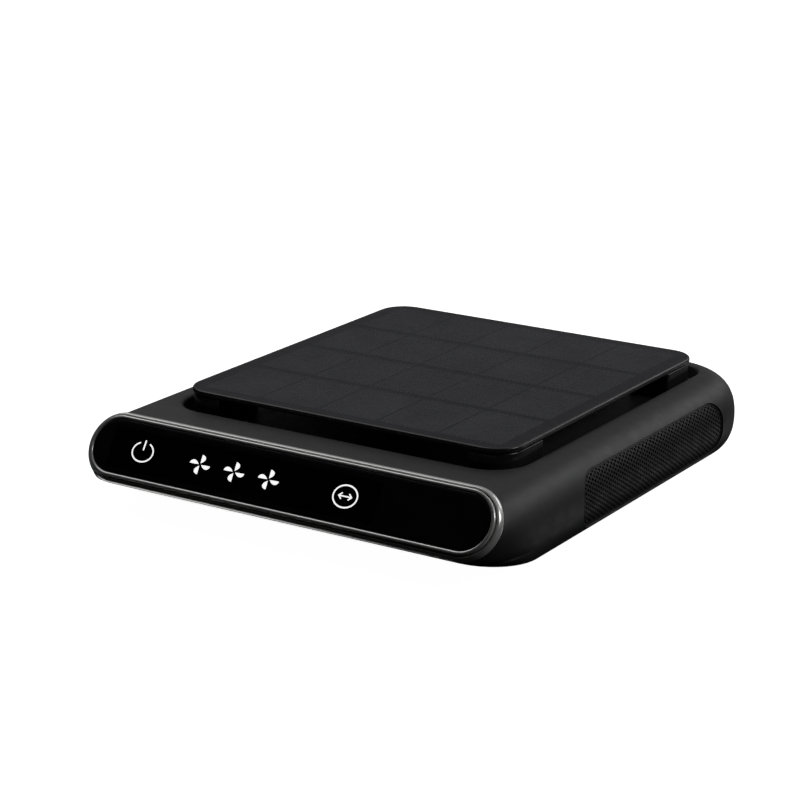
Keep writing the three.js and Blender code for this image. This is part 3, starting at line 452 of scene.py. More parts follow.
def skin(rows, closed=False, first_cap=False, last_cap=False):
    """Quads between rows of points that go round anticlockwise."""
    wide = len(rows[0])
    points = np.vstack(rows)
    faces = []
    spans = len(rows) if closed else len(rows) - 1
    for row in range(spans):
        a, b = row * wide, ((row + 1) % len(rows)) * wide
        for i in range(wide):
            j = (i + 1) % wide
            faces.append((a + i, a + j, b + j, b + i))
    if first_cap:
        faces.append(tuple(range(wide))[::-1])
    if last_cap:
        start = (len(rows) - 1) * wide
        faces.append(tuple(range(start, start + wide)))
    return points, faces


def new_piece(name, parts, crease=32.0, merge=1e-6):
    """A mesh object in the frame from one or more (points, faces)."""
    points, faces = [], []
    for part_points, part_faces in parts:
        start = sum(len(p) for p in points)
        points.append(np.asarray(part_points, float).reshape(-1, 3))
        faces += [tuple(start + i for i in face) for face in part_faces]
    mesh = bpy.data.meshes.new(name)
    mesh.from_pydata(to_frame(np.vstack(points)).tolist(), [], faces)
    shape = bmesh.new()
    shape.from_mesh(mesh)
    bmesh.ops.remove_doubles(shape, verts=shape.verts, dist=merge)
    bmesh.ops.dissolve_degenerate(shape, edges=shape.edges, dist=merge)
    shape.to_mesh(mesh)
    shape.free()
    piece = bpy.data.objects.new(name, mesh)
    bpy.context.scene.collection.objects.link(piece)
    soften(piece, crease)
    return piece


def soften(piece, crease=32.0):
    """Smooth shading that keeps edges sharper than the crease angle."""
    piece.data.shade_smooth()
    piece.data.set_sharp_from_angle(angle=math.radians(crease))


def settle(piece):
    """Turns the piece's modifiers into plain mesh."""
    bpy.context.view_layer.update()
    graph = bpy.context.evaluated_depsgraph_get()
    shaped = piece.evaluated_get(graph)
    mesh = bpy.data.meshes.new_from_object(
        shaped, preserve_all_data_layers=True, depsgraph=graph
    )
    old = piece.data
    piece.modifiers.clear()
    piece.data = mesh
    mesh.name = piece.name
    bpy.data.meshes.remove(old)


def carve(piece, cutters, crease=32.0):
    """Cuts the cutters' shapes out of the piece and removes them."""
    for cutter in cutters:
        step = piece.modifiers.new("carve", "BOOLEAN")
        step.operation = "DIFFERENCE"
        step.solver = "MANIFOLD"
        step.object = cutter
    settle(piece)
    for cutter in cutters:
        bpy.data.objects.remove(cutter)
    if len(piece.data.polygons) == 0:
        raise RuntimeError(f"{piece.name} was lost when it was carved")
    soften(piece, crease)


def along_x(outline, x0, x1):
    """A closed prism along X from an outline drawn in Y and Z."""
    rows = [
        np.column_stack([np.full(len(outline), x), outline]) for x in sorted((x0, x1))
    ]
    return skin(rows, first_cap=True, last_cap=True)


def upright(outline, z0, z1):
    return skin([level(outline, z0), level(outline, z1)], first_cap=True, last_cap=True)


def circle(x, y, radius, steps=48):
    return arc(x, y, radius, 0, 4 - 4 / steps, steps - 1)


def turned(x, y, profile, steps=48):
    """A closed body of revolution about an upright axis, from [radius, z] points."""
    rows = [level(circle(x, y, max(r, 1e-4), steps), z) for r, z in profile]
    return skin(rows, first_cap=True, last_cap=True)


def rounded_block(outline_at, z0, z1, low_round, high_round, steps=4):
    """A block with rounded lower and upper edges. outline_at(inset) gives its outline."""
    rows = []
    for t in np.linspace(0, math.pi / 2, steps + 1):
        inset = low_round * (1 - math.sin(t))
        rows.append(level(outline_at(inset), z0 + low_round * (1 - math.cos(t))))
    for t in np.linspace(0, math.pi / 2, steps + 1):
        inset = high_round * (1 - math.cos(t))
        rows.append(level(outline_at(inset), z1 - high_round * (1 - math.sin(t))))
    return skin(rows, first_cap=True, last_cap=True)


def finish_piece(piece, body, stands_for, materials):
    """Gives a piece its body and its materials, and hides the nodes it stands for."""
    piece.data.materials.clear()
    for material in materials:
        piece.data.materials.append(material)
    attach(piece, body)
    if stands_for:
        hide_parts(*stands_for)


# -------------------------------------------------------------------------- materials


class Shading:
    """A material's node tree, with short ways to add to it."""

    def __init__(self, name):
        self.material = bpy.data.materials.new(name)
        self.material.use_nodes = True
        self.tree = self.material.node_tree
        self.surface = self.tree.nodes["Principled BSDF"]
        self.place = self.add("ShaderNodeTexCoord").outputs["Object"]

    def add(self, kind, **settings):
        node = self.tree.nodes.new(kind)
        for key, value in settings.items():
            setattr(node, key, value)
        return node

    def link(self, output, target):
        self.tree.links.new(output, target)

    def set(self, **values):
        for key, value in values.items():
            socket = self.surface.inputs[key.replace("_", " ")]
            socket.default_value = (*value, 1.0) if isinstance(value, tuple) else value

    def noise(self, size, detail=3.0, roughness=0.55, stretch=(1, 1, 1)):
        """Noise whose features are about size metres across."""
        spread = self.add("ShaderNodeMapping")
        spread.inputs["Scale"].default_value = stretch
        self.link(self.place, spread.inputs["Vector"])
        node = self.add("ShaderNodeTexNoise")
        node.inputs["Scale"].default_value = 1.0 / size
        node.inputs["Detail"].default_value = detail
        node.inputs["Roughness"].default_value = roughness
        self.link(spread.outputs["Vector"], node.inputs["Vector"])
        return node.outputs["Fac"]

    def ranged(self, value, low, high, from_low=0.3, from_high=0.7):
        node = self.add("ShaderNodeMapRange")
        node.inputs["From Min"].default_value = from_low
        node.inputs["From Max"].default_value = from_high
        node.inputs["To Min"].default_value = low
        node.inputs["To Max"].default_value = high
        self.link(value, node.inputs["Value"])
        return node.outputs["Result"]

    def blend(self, share, low, high):
        """A colour between two; each may be a colour or another node's output."""
        node = self.add("ShaderNodeMix", data_type="RGBA")
        self.link(share, node.inputs[0])
        for socket, value in ((node.inputs[6], low), (node.inputs[7], high)):
            if isinstance(value, bpy.types.NodeSocket):
                self.link(value, socket)
            else:
                socket.default_value = (*value, 1.0)
        return node.outputs[2]

    def bump(self, height, depth, below=None):
        node = self.add("ShaderNodeBump")
        node.inputs["Distance"].default_value = depth
        self.link(height, node.inputs["Height"])
        if below is not None:
            self.link(below, node.inputs["Normal"])
        return node.outputs["Normal"]

    def edges(self, low=0.51, high=0.58):
        """1 on outer edges, where hands and cloths rub, and 0 elsewhere."""
        geometry = self.add("ShaderNodeNewGeometry")
        return self.ranged(geometry.outputs["Pointiness"], 0.0, 1.0, low, high)


def shade(colour, amount):
    return tuple(min(1.0, c * amount) for c in colour)


def moulded(name, colour, roughness, grain=0.0004, depth=1.2e-5, wear=0.0, metallic=0.0, **sockets):
    """Moulded, cast or coated surface: fine grain, slow mottling, uneven gloss, worn edges."""
    look = Shading(name)
    mottle = look.ranged(look.noise(0.02, 4.0), 0.0, 1.0)
    base = look.blend(mottle, shade(colour, 0.86), shade(colour, 1.16))
    gloss = look.ranged(look.noise(0.006, 5.0), roughness - 0.045, roughness + 0.045)
    if wear:
        rubbed = look.add("ShaderNodeMath", operation="MULTIPLY")
        look.link(look.edges(), rubbed.inputs[0])
        look.link(look.ranged(look.noise(0.003), 0.4, 1.0), rubbed.inputs[1])
        base = look.blend(rubbed.outputs[0], base, shade(colour, 1.0 + wear))
    look.link(base, look.surface.inputs["Base Color"])
    look.link(gloss, look.surface.inputs["Roughness"])
    fine = look.bump(look.noise(grain, 2.0), depth)
    look.link(look.bump(look.noise(0.03, 1.0), 4e-5, fine), look.surface.inputs["Normal"])
    look.set(Metallic=metallic, **sockets)
    return look.material


def plated(name, colour, roughness, smear=0.05, stretch=(1, 1, 1), metal=1.0, marks_size=0.0012):
    """Bright metal with faint wiping marks; a satin one is not wholly mirror-like."""
    look = Shading(name)
    tone = look.ranged(look.noise(0.012, 5.0), 0.0, 1.0)
    look.link(look.blend(tone, shade(colour, 0.93), shade(colour, 1.03)), look.surface.inputs["Base Color"])
    marks = look.noise(marks_size, 4.0, stretch=stretch)
    look.link(look.ranged(marks, roughness, roughness + smear), look.surface.inputs["Roughness"])
    look.set(Metallic=metal)
    return look.material


def glassy(name, colour, roughness=0.05, **sockets):
    """Hard gloss with a trace of finger marks."""
    look = Shading(name)
    touch = look.ranged(look.noise(0.009, 5.0, 0.65), 0.0, 1.0, 0.45, 0.75)
    look.link(look.blend(touch, colour, shade(colour, 1.5)), look.surface.inputs["Base Color"])
    look.link(look.ranged(touch, roughness, roughness + 0.05, 0.0, 1.0), look.surface.inputs["Roughness"])
    look.set(**sockets)
    return look.material


def filmed(name, colour, roughness=0.46):
    """Solar cell or sheet under a finely embossed satin film."""
    look = Shading(name)
    cloud = look.ranged(look.noise(0.03, 3.0), 0.0, 1.0)
    look.link(look.blend(cloud, shade(colour, 0.85), shade(colour, 1.2)), look.surface.inputs["Base Color"])
    look.link(
        look.ranged(look.noise(0.004, 3.0), roughness - 0.04, roughness + 0.05),
        look.surface.inputs["Roughness"]
    )
    weave = look.bump(look.noise(0.00045, 1.0), 5e-6)
    look.link(look.bump(look.noise(0.025, 1.0), 2e-5, weave), look.surface.inputs["Normal"])
    look.set(**{"Specular IOR Level": 0.16})
    return look.material


def papery(name, colour):
    """Fibrous filter paper."""
    look = Shading(name)
    fibres = look.noise(0.0006, 6.0, 0.7, stretch=(1, 1, 0.35))
    look.link(
        look.blend(look.ranged(fibres, 0.0, 1.0), shade(colour, 0.7), shade(colour, 1.35)),
        look.surface.inputs["Base Color"]
    )
    look.link(look.ranged(fibres, 0.82, 0.97), look.surface.inputs["Roughness"])
    look.link(look.bump(fibres, 6e-5), look.surface.inputs["Normal"])
    look.set(**{"Sheen Weight": 0.2, "Sheen Roughness": 0.6})
    return look.material


def lit(name, colour, strength):
    """Symbol lit from behind."""
    look = Shading(name)
    even = look.ranged(look.noise(0.003, 2.0), 0.0, 1.0)
    look.link(look.blend(even, shade(colour, 0.9), colour), look.surface.inputs["Base Color"])
    look.set(**{"Emission Color": colour, "Emission Strength": strength, "Roughness": 0.4})
    return look.material


def build_finishes(colours):
    """Every finish of the object, by slot."""
    grey = (0.5, 0.5, 0.51)
    return {
        "case_plastic": moulded("Fine grained black", tuple(colours.case), 0.5, 0.0005, 2.2e-5, wear=0.5),
        "chrome_trim": plated("Satin chrome", tuple(colours.chrome), 0.2, 0.04, metal=0.5, marks_size=0.02),
        "display_glass": glassy("Printed black glass", tuple(colours.glass)),
        "guide_plastic": moulded("Milky light guide", (0.8, 0.8, 0.76), 0.45),
        "circuit_board": moulded("Green board lacquer", (0.02, 0.12, 0.05), 0.4, 0.0008),
        "tray_plastic": moulded("Satin tray", tuple(colours.tray), 0.32, 0.0006, 8e-6, wear=1.2),
        "solar_cells": filmed("Filmed sheet", tuple(colours.film)),
        "post_plastic": moulded("Satin post", tuple(colours.post), 0.2, 0.0006, 3e-6, wear=0.5),
        "screw_steel": plated("Zinc plated steel", grey, 0.28, 0.12),
        "grille_plastic": moulded("Matt grille black", (0.012, 0.012, 0.013), 0.55),
        "emitter_steel": plated("Plain steel", grey, 0.22, 0.1),
        "filter_plastic": moulded("Filter frame plastic", (0.05, 0.05, 0.052), 0.5),
        "filter_paper": papery("Charcoal filter paper", tuple(colours.filter)),
        "inner_plastic": moulded("Inner black plastic", (0.03, 0.03, 0.033), 0.55),
        "impeller_plastic": moulded("Grey impeller plastic", (0.3, 0.3, 0.3), 0.45),
        "bearing_brass": plated("Sintered bronze", (0.7, 0.5, 0.25), 0.35, 0.15),
        "shaft_steel": plated("Ground steel", (0.6, 0.6, 0.62), 0.18, 0.08, (1, 1, 12)),
        "copper_winding": plated("Lacquered copper", (0.55, 0.28, 0.12), 0.3, 0.15, (1, 1, 20)),
        "magnet_ferrite": moulded("Sintered ferrite", (0.08, 0.08, 0.085), 0.6, 0.0003, 4e-5, metallic=0.4),
        "cell_wrap": moulded("Blue shrink sleeve", (0.05, 0.18, 0.42), 0.3, 0.001, 8e-6),
        "sensor_can": plated("Satin aluminium", (0.5, 0.52, 0.54), 0.35, 0.1),
        "potted_box": moulded("Potting compound", (0.02, 0.02, 0.022), 0.25, 0.002, 2e-5),
        "rubber": moulded("Foot rubber", (0.02, 0.02, 0.02), 0.75, 0.0004, 3e-5),
        "window": glassy("Clear window", tuple(colours.window)),
        "symbol": lit("Lit symbol", tuple(colours.symbol), 0.9),
        "cell": filmed("Solar cell", tuple(colours.cell)),
        "finger": filmed("Contact line", tuple(colours.finger)),
    }


FINISHES = {}


# --------------------------------------------------------------------- geometry trees


class Recipe:
    """A geometry node tree with named inputs, built node by node."""

    KINDS = {
        float: "NodeSocketFloat",
        int: "NodeSocketInt",
        Vector: "NodeSocketVector",
        bpy.types.Material: "NodeSocketMaterial",
    }

    def __init__(self, name, **inputs):
        self.tree = bpy.data.node_groups.new(name, "GeometryNodeTree")
        face = self.tree.interface
        face.new_socket(name="Geometry", in_out="INPUT", socket_type="NodeSocketGeometry")
        self.values = {}
        self.sockets = {}
        for key, value in inputs.items():
            kind = next(k for t, k in self.KINDS.items() if isinstance(value, t))
            label = key.replace("_", " ").capitalize()
            socket = face.new_socket(name=label, in_out="INPUT", socket_type=kind)
            self.values[key] = (socket.identifier, value)
        face.new_socket(name="Geometry", in_out="OUTPUT", socket_type="NodeSocketGeometry")
        self.start = self.tree.nodes.new("NodeGroupInput")
        self.end = self.tree.nodes.new("NodeGroupOutput")
        self.shape = self.start.outputs[0]
        for place, key in enumerate(inputs):
            self.sockets[key] = self.start.outputs[place + 1]

    def __getitem__(self, key):
        return self.sockets[key]

    def add(self, kind, settings=None, **inputs):
        """A node; inputs are numbers, vectors or other nodes' outputs."""
        node = self.tree.nodes.new(kind)
        for key, value in (settings or {}).items():
            setattr(node, key, value)
        for key, value in inputs.items():
            label = key.replace("_", " ").strip()
            target = (
                node.inputs[int(label[2:])]
                if label[:2] == "in" and label[2:].isdigit()
                else node.inputs[label]
            )
            if isinstance(value, bpy.types.NodeSocket):
                self.tree.links.new(value, target)
            else:
                target.default_value = value
        return node

    def math(self, operation, a, b=0.0, c=0.0):
        node = self.add("ShaderNodeMath", {"operation": operation}, in0=a, in1=b)
        if operation in ("WRAP", "COMPARE", "MULTIPLY_ADD"):
            self._feed(node.inputs[2], c)
        return node.outputs[0]

    def _feed(self, target, value):
        if isinstance(value, bpy.types.NodeSocket):
            self.tree.links.new(value, target)
        else:
            target.default_value = value

    def vector(self, x=0.0, y=0.0, z=0.0):
        return self.add("ShaderNodeCombineXYZ", X=x, Y=y, Z=z).outputs[0]

    def apart(self, vector):
        return self.add("ShaderNodeSeparateXYZ", Vector=vector).outputs

    def apply(self, piece, shape, material=None):
        """Ends the tree in Realize Instances and Set Material and settles the piece."""
        real = self.add("GeometryNodeRealizeInstances", Geometry=shape)
        out = real.outputs[0]
        if material is not None:
            out = self.add("GeometryNodeSetMaterial", Geometry=out, Material=material).outputs[0]
        self.tree.links.new(out, self.end.inputs[0])
        step = piece.modifiers.new(self.tree.name, "NODES")
        step.node_group = self.tree
        for identifier, value in self.values.values():
            step[identifier] = value
        settle(piece)
        if len(piece.data.polygons) == 0:
            raise RuntimeError(f"{piece.name} came out of its tree empty")


def spread_on_grid(piece, columns, rows, pitch_x, pitch_y, middle, material):
    """Repeats the piece's own shape, drawn at the frame's origin, in columns and rows."""
    recipe = Recipe(
        "Rows and columns",
        columns=columns,
        rows=rows,
        column_pitch=float(pitch_x),
        row_pitch=float(pitch_y),
        middle=Vector(middle),
        material=material,
    )
    wide = recipe.math("MULTIPLY", recipe.math("SUBTRACT", recipe["columns"], 1.0), recipe["column_pitch"])
    deep = recipe.math("MULTIPLY", recipe.math("SUBTRACT", recipe["rows"], 1.0), recipe["row_pitch"])
    grid = recipe.add(
        "GeometryNodeMeshGrid",
        Size_X=wide,
        Size_Y=deep,
        Vertices_X=recipe["columns"],
        Vertices_Y=recipe["rows"],
    )
    spots = recipe.add("GeometryNodeMeshToPoints", Mesh=grid.outputs[0])
    moved = recipe.add("GeometryNodeSetPosition", Geometry=spots.outputs[0], Offset=recipe["middle"])
    copies = recipe.add("GeometryNodeInstanceOnPoints", Points=moved.outputs[0], Instance=recipe.shape)
    recipe.apply(piece, copies.outputs[0], recipe["material"])


def spread_round(piece, copies, middle, material):
    """Repeats the piece's own shape round an upright axis through the frame's origin."""
    recipe = Recipe("Round an axis", copies=copies, middle=Vector(middle), material=material)
    line = recipe.add("GeometryNodePoints", Count=recipe["copies"])
    index = recipe.add("GeometryNodeInputIndex").outputs[0]
    step = recipe.math("DIVIDE", TURN, recipe["copies"])
    turn = recipe.vector(z=recipe.math("MULTIPLY", index, step))
    ring = recipe.add(
        "GeometryNodeInstanceOnPoints", Points=line.outputs[0], Instance=recipe.shape, Rotation=turn
    )
    moved = recipe.add(
        "GeometryNodeTranslateInstances", Instances=ring.outputs[0], Translation=recipe["middle"]
    )
    recipe.apply(piece, moved.outputs[0], recipe["material"])


def bead_along(piece, radius, material):
    """Turns the piece's closed path into a round bead."""
    recipe = Recipe("Bead along a path", radius=float(radius), material=material)
    path = recipe.add("GeometryNodeMeshToCurve", Mesh=recipe.shape)
    section = recipe.add("GeometryNodeCurvePrimitiveCircle", Resolution=10, Radius=recipe["radius"])
    swept = recipe.add("GeometryNodeCurveToMesh", Curve=path.outputs[0], Profile_Curve=section.outputs[0])
    recipe.apply(piece, swept.outputs[0], recipe["material"])


def at_origin(piece):
    """Moves a shape drawn about the case's zero point to the frame's origin."""
    shift = Vector((0, -glass_middle().y, 0))
    piece.data.transform(Matrix.Translation(shift))


# ------------------------------------------------------------------------- operators


class PURIFIER_OT_finishes(bpy.types.Operator):
    """Makes every finish and puts it on the frame's own pieces"""

    bl_idname = "purifier.finishes"
    bl_label = "Finishes"

    def execute(self, context):
        FINISHES.update(build_finishes(context.scene.purifier_finishes))
        for entry in frame["record"]["subparts"]:
            node = frame["nodes"][entry["node"]]
            finish = FINISHES[entry["material_slot"]]
            if not node.material_slots:
                node.data.materials.append(finish)
            for slot in node.material_slots:
                slot.material = finish
        return {"FINISHED"}


def door_outline(doors, inset, steps=14):
    """The door's outline in Y and Z, moved inwards."""
    half = mm(doors.length) / 2 - inset
    y = mm(doors.centre)
    z0, z1 = mm(doors.base) + inset, mm(doors.base) + mm(doors.height) - inset
    return rounded_rectangle(y - half, y + half, z0, z1, mm(doors.corner) - inset, steps)


def stadium(display, radius, steps=36):
    """A stadium's outline on the display's face, anticlockwise seen from outside."""
    reach = mm(display.end_centre)
    right = arc(reach, 0, radius, -1, 1, steps)
    left = arc(-reach, 0, radius, 1, 3, steps)
    near = np.array([[0.3, 0.0]])
    return np.vstack([right[:1] - near, right, right[-1:] - near, left[:1] + near, left, left[-1:] + near])


def face_rows(display, section):
    """Rows round the stadium on the leaning face from [radius, out] points."""
    return [on_face(level(stadium(display, r), out)) for r, out in section]


class PURIFIER_OT_top_case(bpy.types.Operator):
    """Makes the upper case half with its recess and openings"""

    bl_idname = "purifier.top_case"
    bl_label = "Top case"

    def shell_rows(self, scene, form, inset, outset, first):
        """Rows from the parting line up the sides and over to the recess's edge."""
        switch = 0.42 * (form.round - inset)
        high = form.middle + form.height_at(switch, inset)
        rows = [form.outline(z - form.middle, inset) for z in form.levels(first, high, inset)]
        start = rows[-1]
        end = form.recess_outline(scene, outset, 0.0)
        front = 2 + form.FRONT_STEPS + 1
        wide = len(start)
        is_front = np.zeros(wide, bool)
        is_front[:front] = True
        is_front[-front:] = True
        for i in range(wide):
            x, y, _ = end[i]
            end[i, 2] = form.middle + form.half_height - inset if is_front[i] else form.top_z(x, y, inset)
        for share in np.linspace(0, 1, 15)[1:]:
            draw = switch + (form.round - inset - switch) * share
            rim = form.outline(form.height_at(draw, inset), inset)
            row = start + (end - start) * share
            for i in range(wide):
                if is_front[i]:
                    row[i] = rim[i]
                else:
                    row[i, 2] = form.top_z(row[i, 0], row[i, 1], inset)
            rows.append(row)
        last = rows[-1]
        for share in (0.02, 0.5, 1.0):
            rows.append(last + (end - last) * share)
        return rows

    def execute(self, context):
        scene = context.scene
        case, display, doors = scene.purifier_case, scene.purifier_display, scene.purifier_doors
        form = CaseForm(scene)
        wall, fit = mm(case.wall), mm(case.fit)
        first = mm(case.parting) + fit / 2
        rim, foot = mm(case.rim_round), 1.2
        deck = form.top - mm(case.recess_depth)
        blower = mm(case.blower_back)

        outer = self.shell_rows(scene, form, 0.0, rim, first)
        edge_z = outer[-1][:, 2]
        for t in np.linspace(0, math.pi / 2, 7)[1:]:
            row = form.recess_outline(scene, rim * (1 - math.sin(t)), 0.0)
            row[:, 2] = edge_z - rim * (1 - math.cos(t))
            outer.append(row)
        for t in np.linspace(0, math.pi / 2, 5):
            row = form.recess_outline(scene, -foot * (1 - math.cos(t)), deck + foot * (1 - math.sin(t)))
            outer.append(row)
        last = outer[-1]
        turns = np.arctan2(last[:, 1] - blower, last[:, 0])
        radius = mm(case.outlet_radius)
        hole = np.stack(
            [radius * np.cos(turns), blower + radius * np.sin(turns), np.full(len(turns), deck)],
            axis=1
        )
        outer += [hole + (0, 0, 0), hole - (0, 0, wall)]

        inner = self.shell_rows(scene, form, wall, wall, first)
        under = form.recess_outline(scene, wall, deck - wall)
        rows = outer + [under] + inner[::-1]
        piece = new_piece("top_case_shell", [skin(rows, closed=True)])

        reach = mm(case.width)
        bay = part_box("filter_frame_right")[1].x / MM - fit
        cutters = []
        for side in (-1, 1):
            prism = along_x(door_outline(doors, 0.0), side * bay, side * reach)
            cutters.append(new_piece("door_opening", [prism]))
        opening = mm(display.bezel_inner) + 0.7 + fit
        tunnel = face_rows(display, [(opening, -mm(display.spigot) - fit), (opening, mm(display.setback))])
        cutters.append(new_piece("display_opening", [skin(tunnel, first_cap=True, last_cap=True)]))
        low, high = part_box("usb_socket")
        mouth = rounded_rectangle(
            low.x / MM - fit, high.x / MM + fit, low.z / MM - fit, high.z / MM + fit,
            (high.z - low.z) / 2 / MM
        )
        rows = [
            np.column_stack([mouth[:, 0], np.full(len(mouth), y), mouth[:, 1]])
            for y in (form.back + 2, form.back - 2.5 * wall)
        ]
        cutters.append(new_piece("socket_opening", [skin(rows, first_cap=True, last_cap=True)]))
        carve(piece, cutters)
        finish_piece(piece, "base", ["top_case"], [FINISHES["case_plastic"]])
        return {"FINISHED"}


class PURIFIER_OT_bottom_case(bpy.types.Operator):
    """Makes the lower case half with its foot and screw pockets"""

    bl_idname = "purifier.bottom_case"
    bl_label = "Bottom case"

    def bowl(self, form, inset, rim):
        """Rows from the middle of the floor out and up to the rim."""
        low = form.middle - form.half_height + inset
        levels = [low + (form.levels(low, rim, inset)[1] - low) * s for s in (0, 0.15, 0.45)]
        levels += form.levels(low, rim, inset)[1:]
        rows = [form.outline(z - form.middle, inset) for z in levels]
        centre = np.array([0.0, 130.0, low])
        inner = [centre + (rows[0] - centre) * (s, s, 1) for s in (0.05, 0.9, 0.985)]
        return inner + rows

    def execute(self, context):
        scene = context.scene
        case = scene.purifier_case
        form = CaseForm(scene)
        rim = mm(case.parting) - mm(case.fit) / 2
        outer = self.bowl(form, 0.0, rim)
        inner = self.bowl(form, mm(case.wall), rim)
        rows = outer + inner[::-1]
        piece = new_piece("bottom_case_shell", [skin(rows, first_cap=True, last_cap=True)])
        fit = mm(case.fit)
        cutters = []
        for side in (-1, 1):
            for y in (mm(case.foot_front), mm(case.foot_back)):
                pocket = circle(side * mm(case.foot_half), y, mm(case.foot_radius) + fit)
                cutters.append(new_piece("foot_pocket", [upright(pocket, -1, form.base + 1)]))
        for name in ("front_right", "front_left", "rear_right", "rear_left"):
            x, y = node_middle(f"case_screw_{name}")
            hole = circle(x, y, 3.1, 32)
            cutters.append(new_piece("screw_pocket", [upright(hole, -1, form.base + mm(case.wall) + 3)]))
        carve(piece, cutters)
        finish_piece(piece, "base", ["bottom_case"], [FINISHES["case_plastic"]])
        return {"FINISHED"}


def node_middle(node):
    """X and Y of a node's middle in case millimetres."""
    low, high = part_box(node)
    middle = (low + high) / 2
    return mm(middle.x), mm(middle.y - glass_middle().y)


class PURIFIER_OT_bright_rings(bpy.types.Operator):
    """Makes the two bright rings round the display"""

    bl_idname = "purifier.bright_rings"
    bl_label = "Bright rings"

    def execute(self, context):
        display = context.scene.purifier_display
        inner, outer = mm(display.trim_inner), mm(display.trim_outer)
        crown = (inner + outer) / 2
        half = (outer - inner) / 2
        section = [(inner, -3.9), (outer, -3.9), (outer, -0.35)]
        for t in np.linspace(0.12, math.pi - 0.12, 11):
            section.append((crown + half * math.cos(t), -0.3 + 0.8 * math.sin(t) ** 0.8))
        section.append((inner, -0.35))
        trim = new_piece("display_trim_ring", [skin(face_rows(display, section), closed=True)], 50)
        finish_piece(trim, "base", ["display_trim"], [FINISHES["chrome_trim"]])

        start, wide, back = mm(display.bezel_inner), mm(display.bezel_radius), mm(display.setback) - 0.3
        spigot, glass = mm(display.spigot), mm(display.glass_radius)
        section = [
            (start, -spigot + 1.4),
            (glass - 1.6, -spigot + 1.4),
            (glass - 1.6, -spigot),
            (start + 0.7, -spigot),
            (start + 0.7, -back),
            (wide - 0.15, -back),
            (wide, -back + 0.15),
            (wide, -back + 0.5),
            (wide - 0.1, -back + 1.1),
            (wide - 0.32, -back + 1.75),
            (wide - 0.62, -back + 2.35),
            (wide - 0.98, -back + 2.85),
            (wide - 1.3, -back + 3.1),
            (wide - 1.55, -back + 3.17),
            (wide - 1.75, -back + 3.1),
            (wide - 1.87, -back + 2.9),
            (start, -back + 2.5),
        ]
        bezel = new_piece("display_bezel_ring", [skin(face_rows(display, section), closed=True)], 50)
        finish_piece(bezel, "base", ["display_bezel"], [FINISHES["chrome_trim"]])
        return {"FINISHED"}


def print_on_face(outline, out, thick=0.012):
    """A thin raised print from an outline of [along, up] points."""
    outline = np.asarray(outline, float)
    rows = [on_face(level(outline, out)), on_face(level(outline, out + thick))]
    return skin(rows, first_cap=True, last_cap=True)


def stroke_outline(path, width):
    """Outline of a line of even width with rounded ends."""
    path = np.asarray(path, float)
    along = np.gradient(path, axis=0)
    along /= np.linalg.norm(along, axis=1)[:, None]
    across = np.stack([along[:, 1], -along[:, 0]], axis=1) * width / 2
    turns = np.linspace(0, math.pi, 9)[1:-1]
    end, start = [], []
    for t in turns:
        end.append(path[-1] + across[-1] * math.cos(t) + along[-1] * width / 2 * math.sin(t))
        start.append(path[0] - across[0] * math.cos(t) - along[0] * width / 2 * math.sin(t))
    return np.vstack([path + across, end, (path - across)[::-1], start])


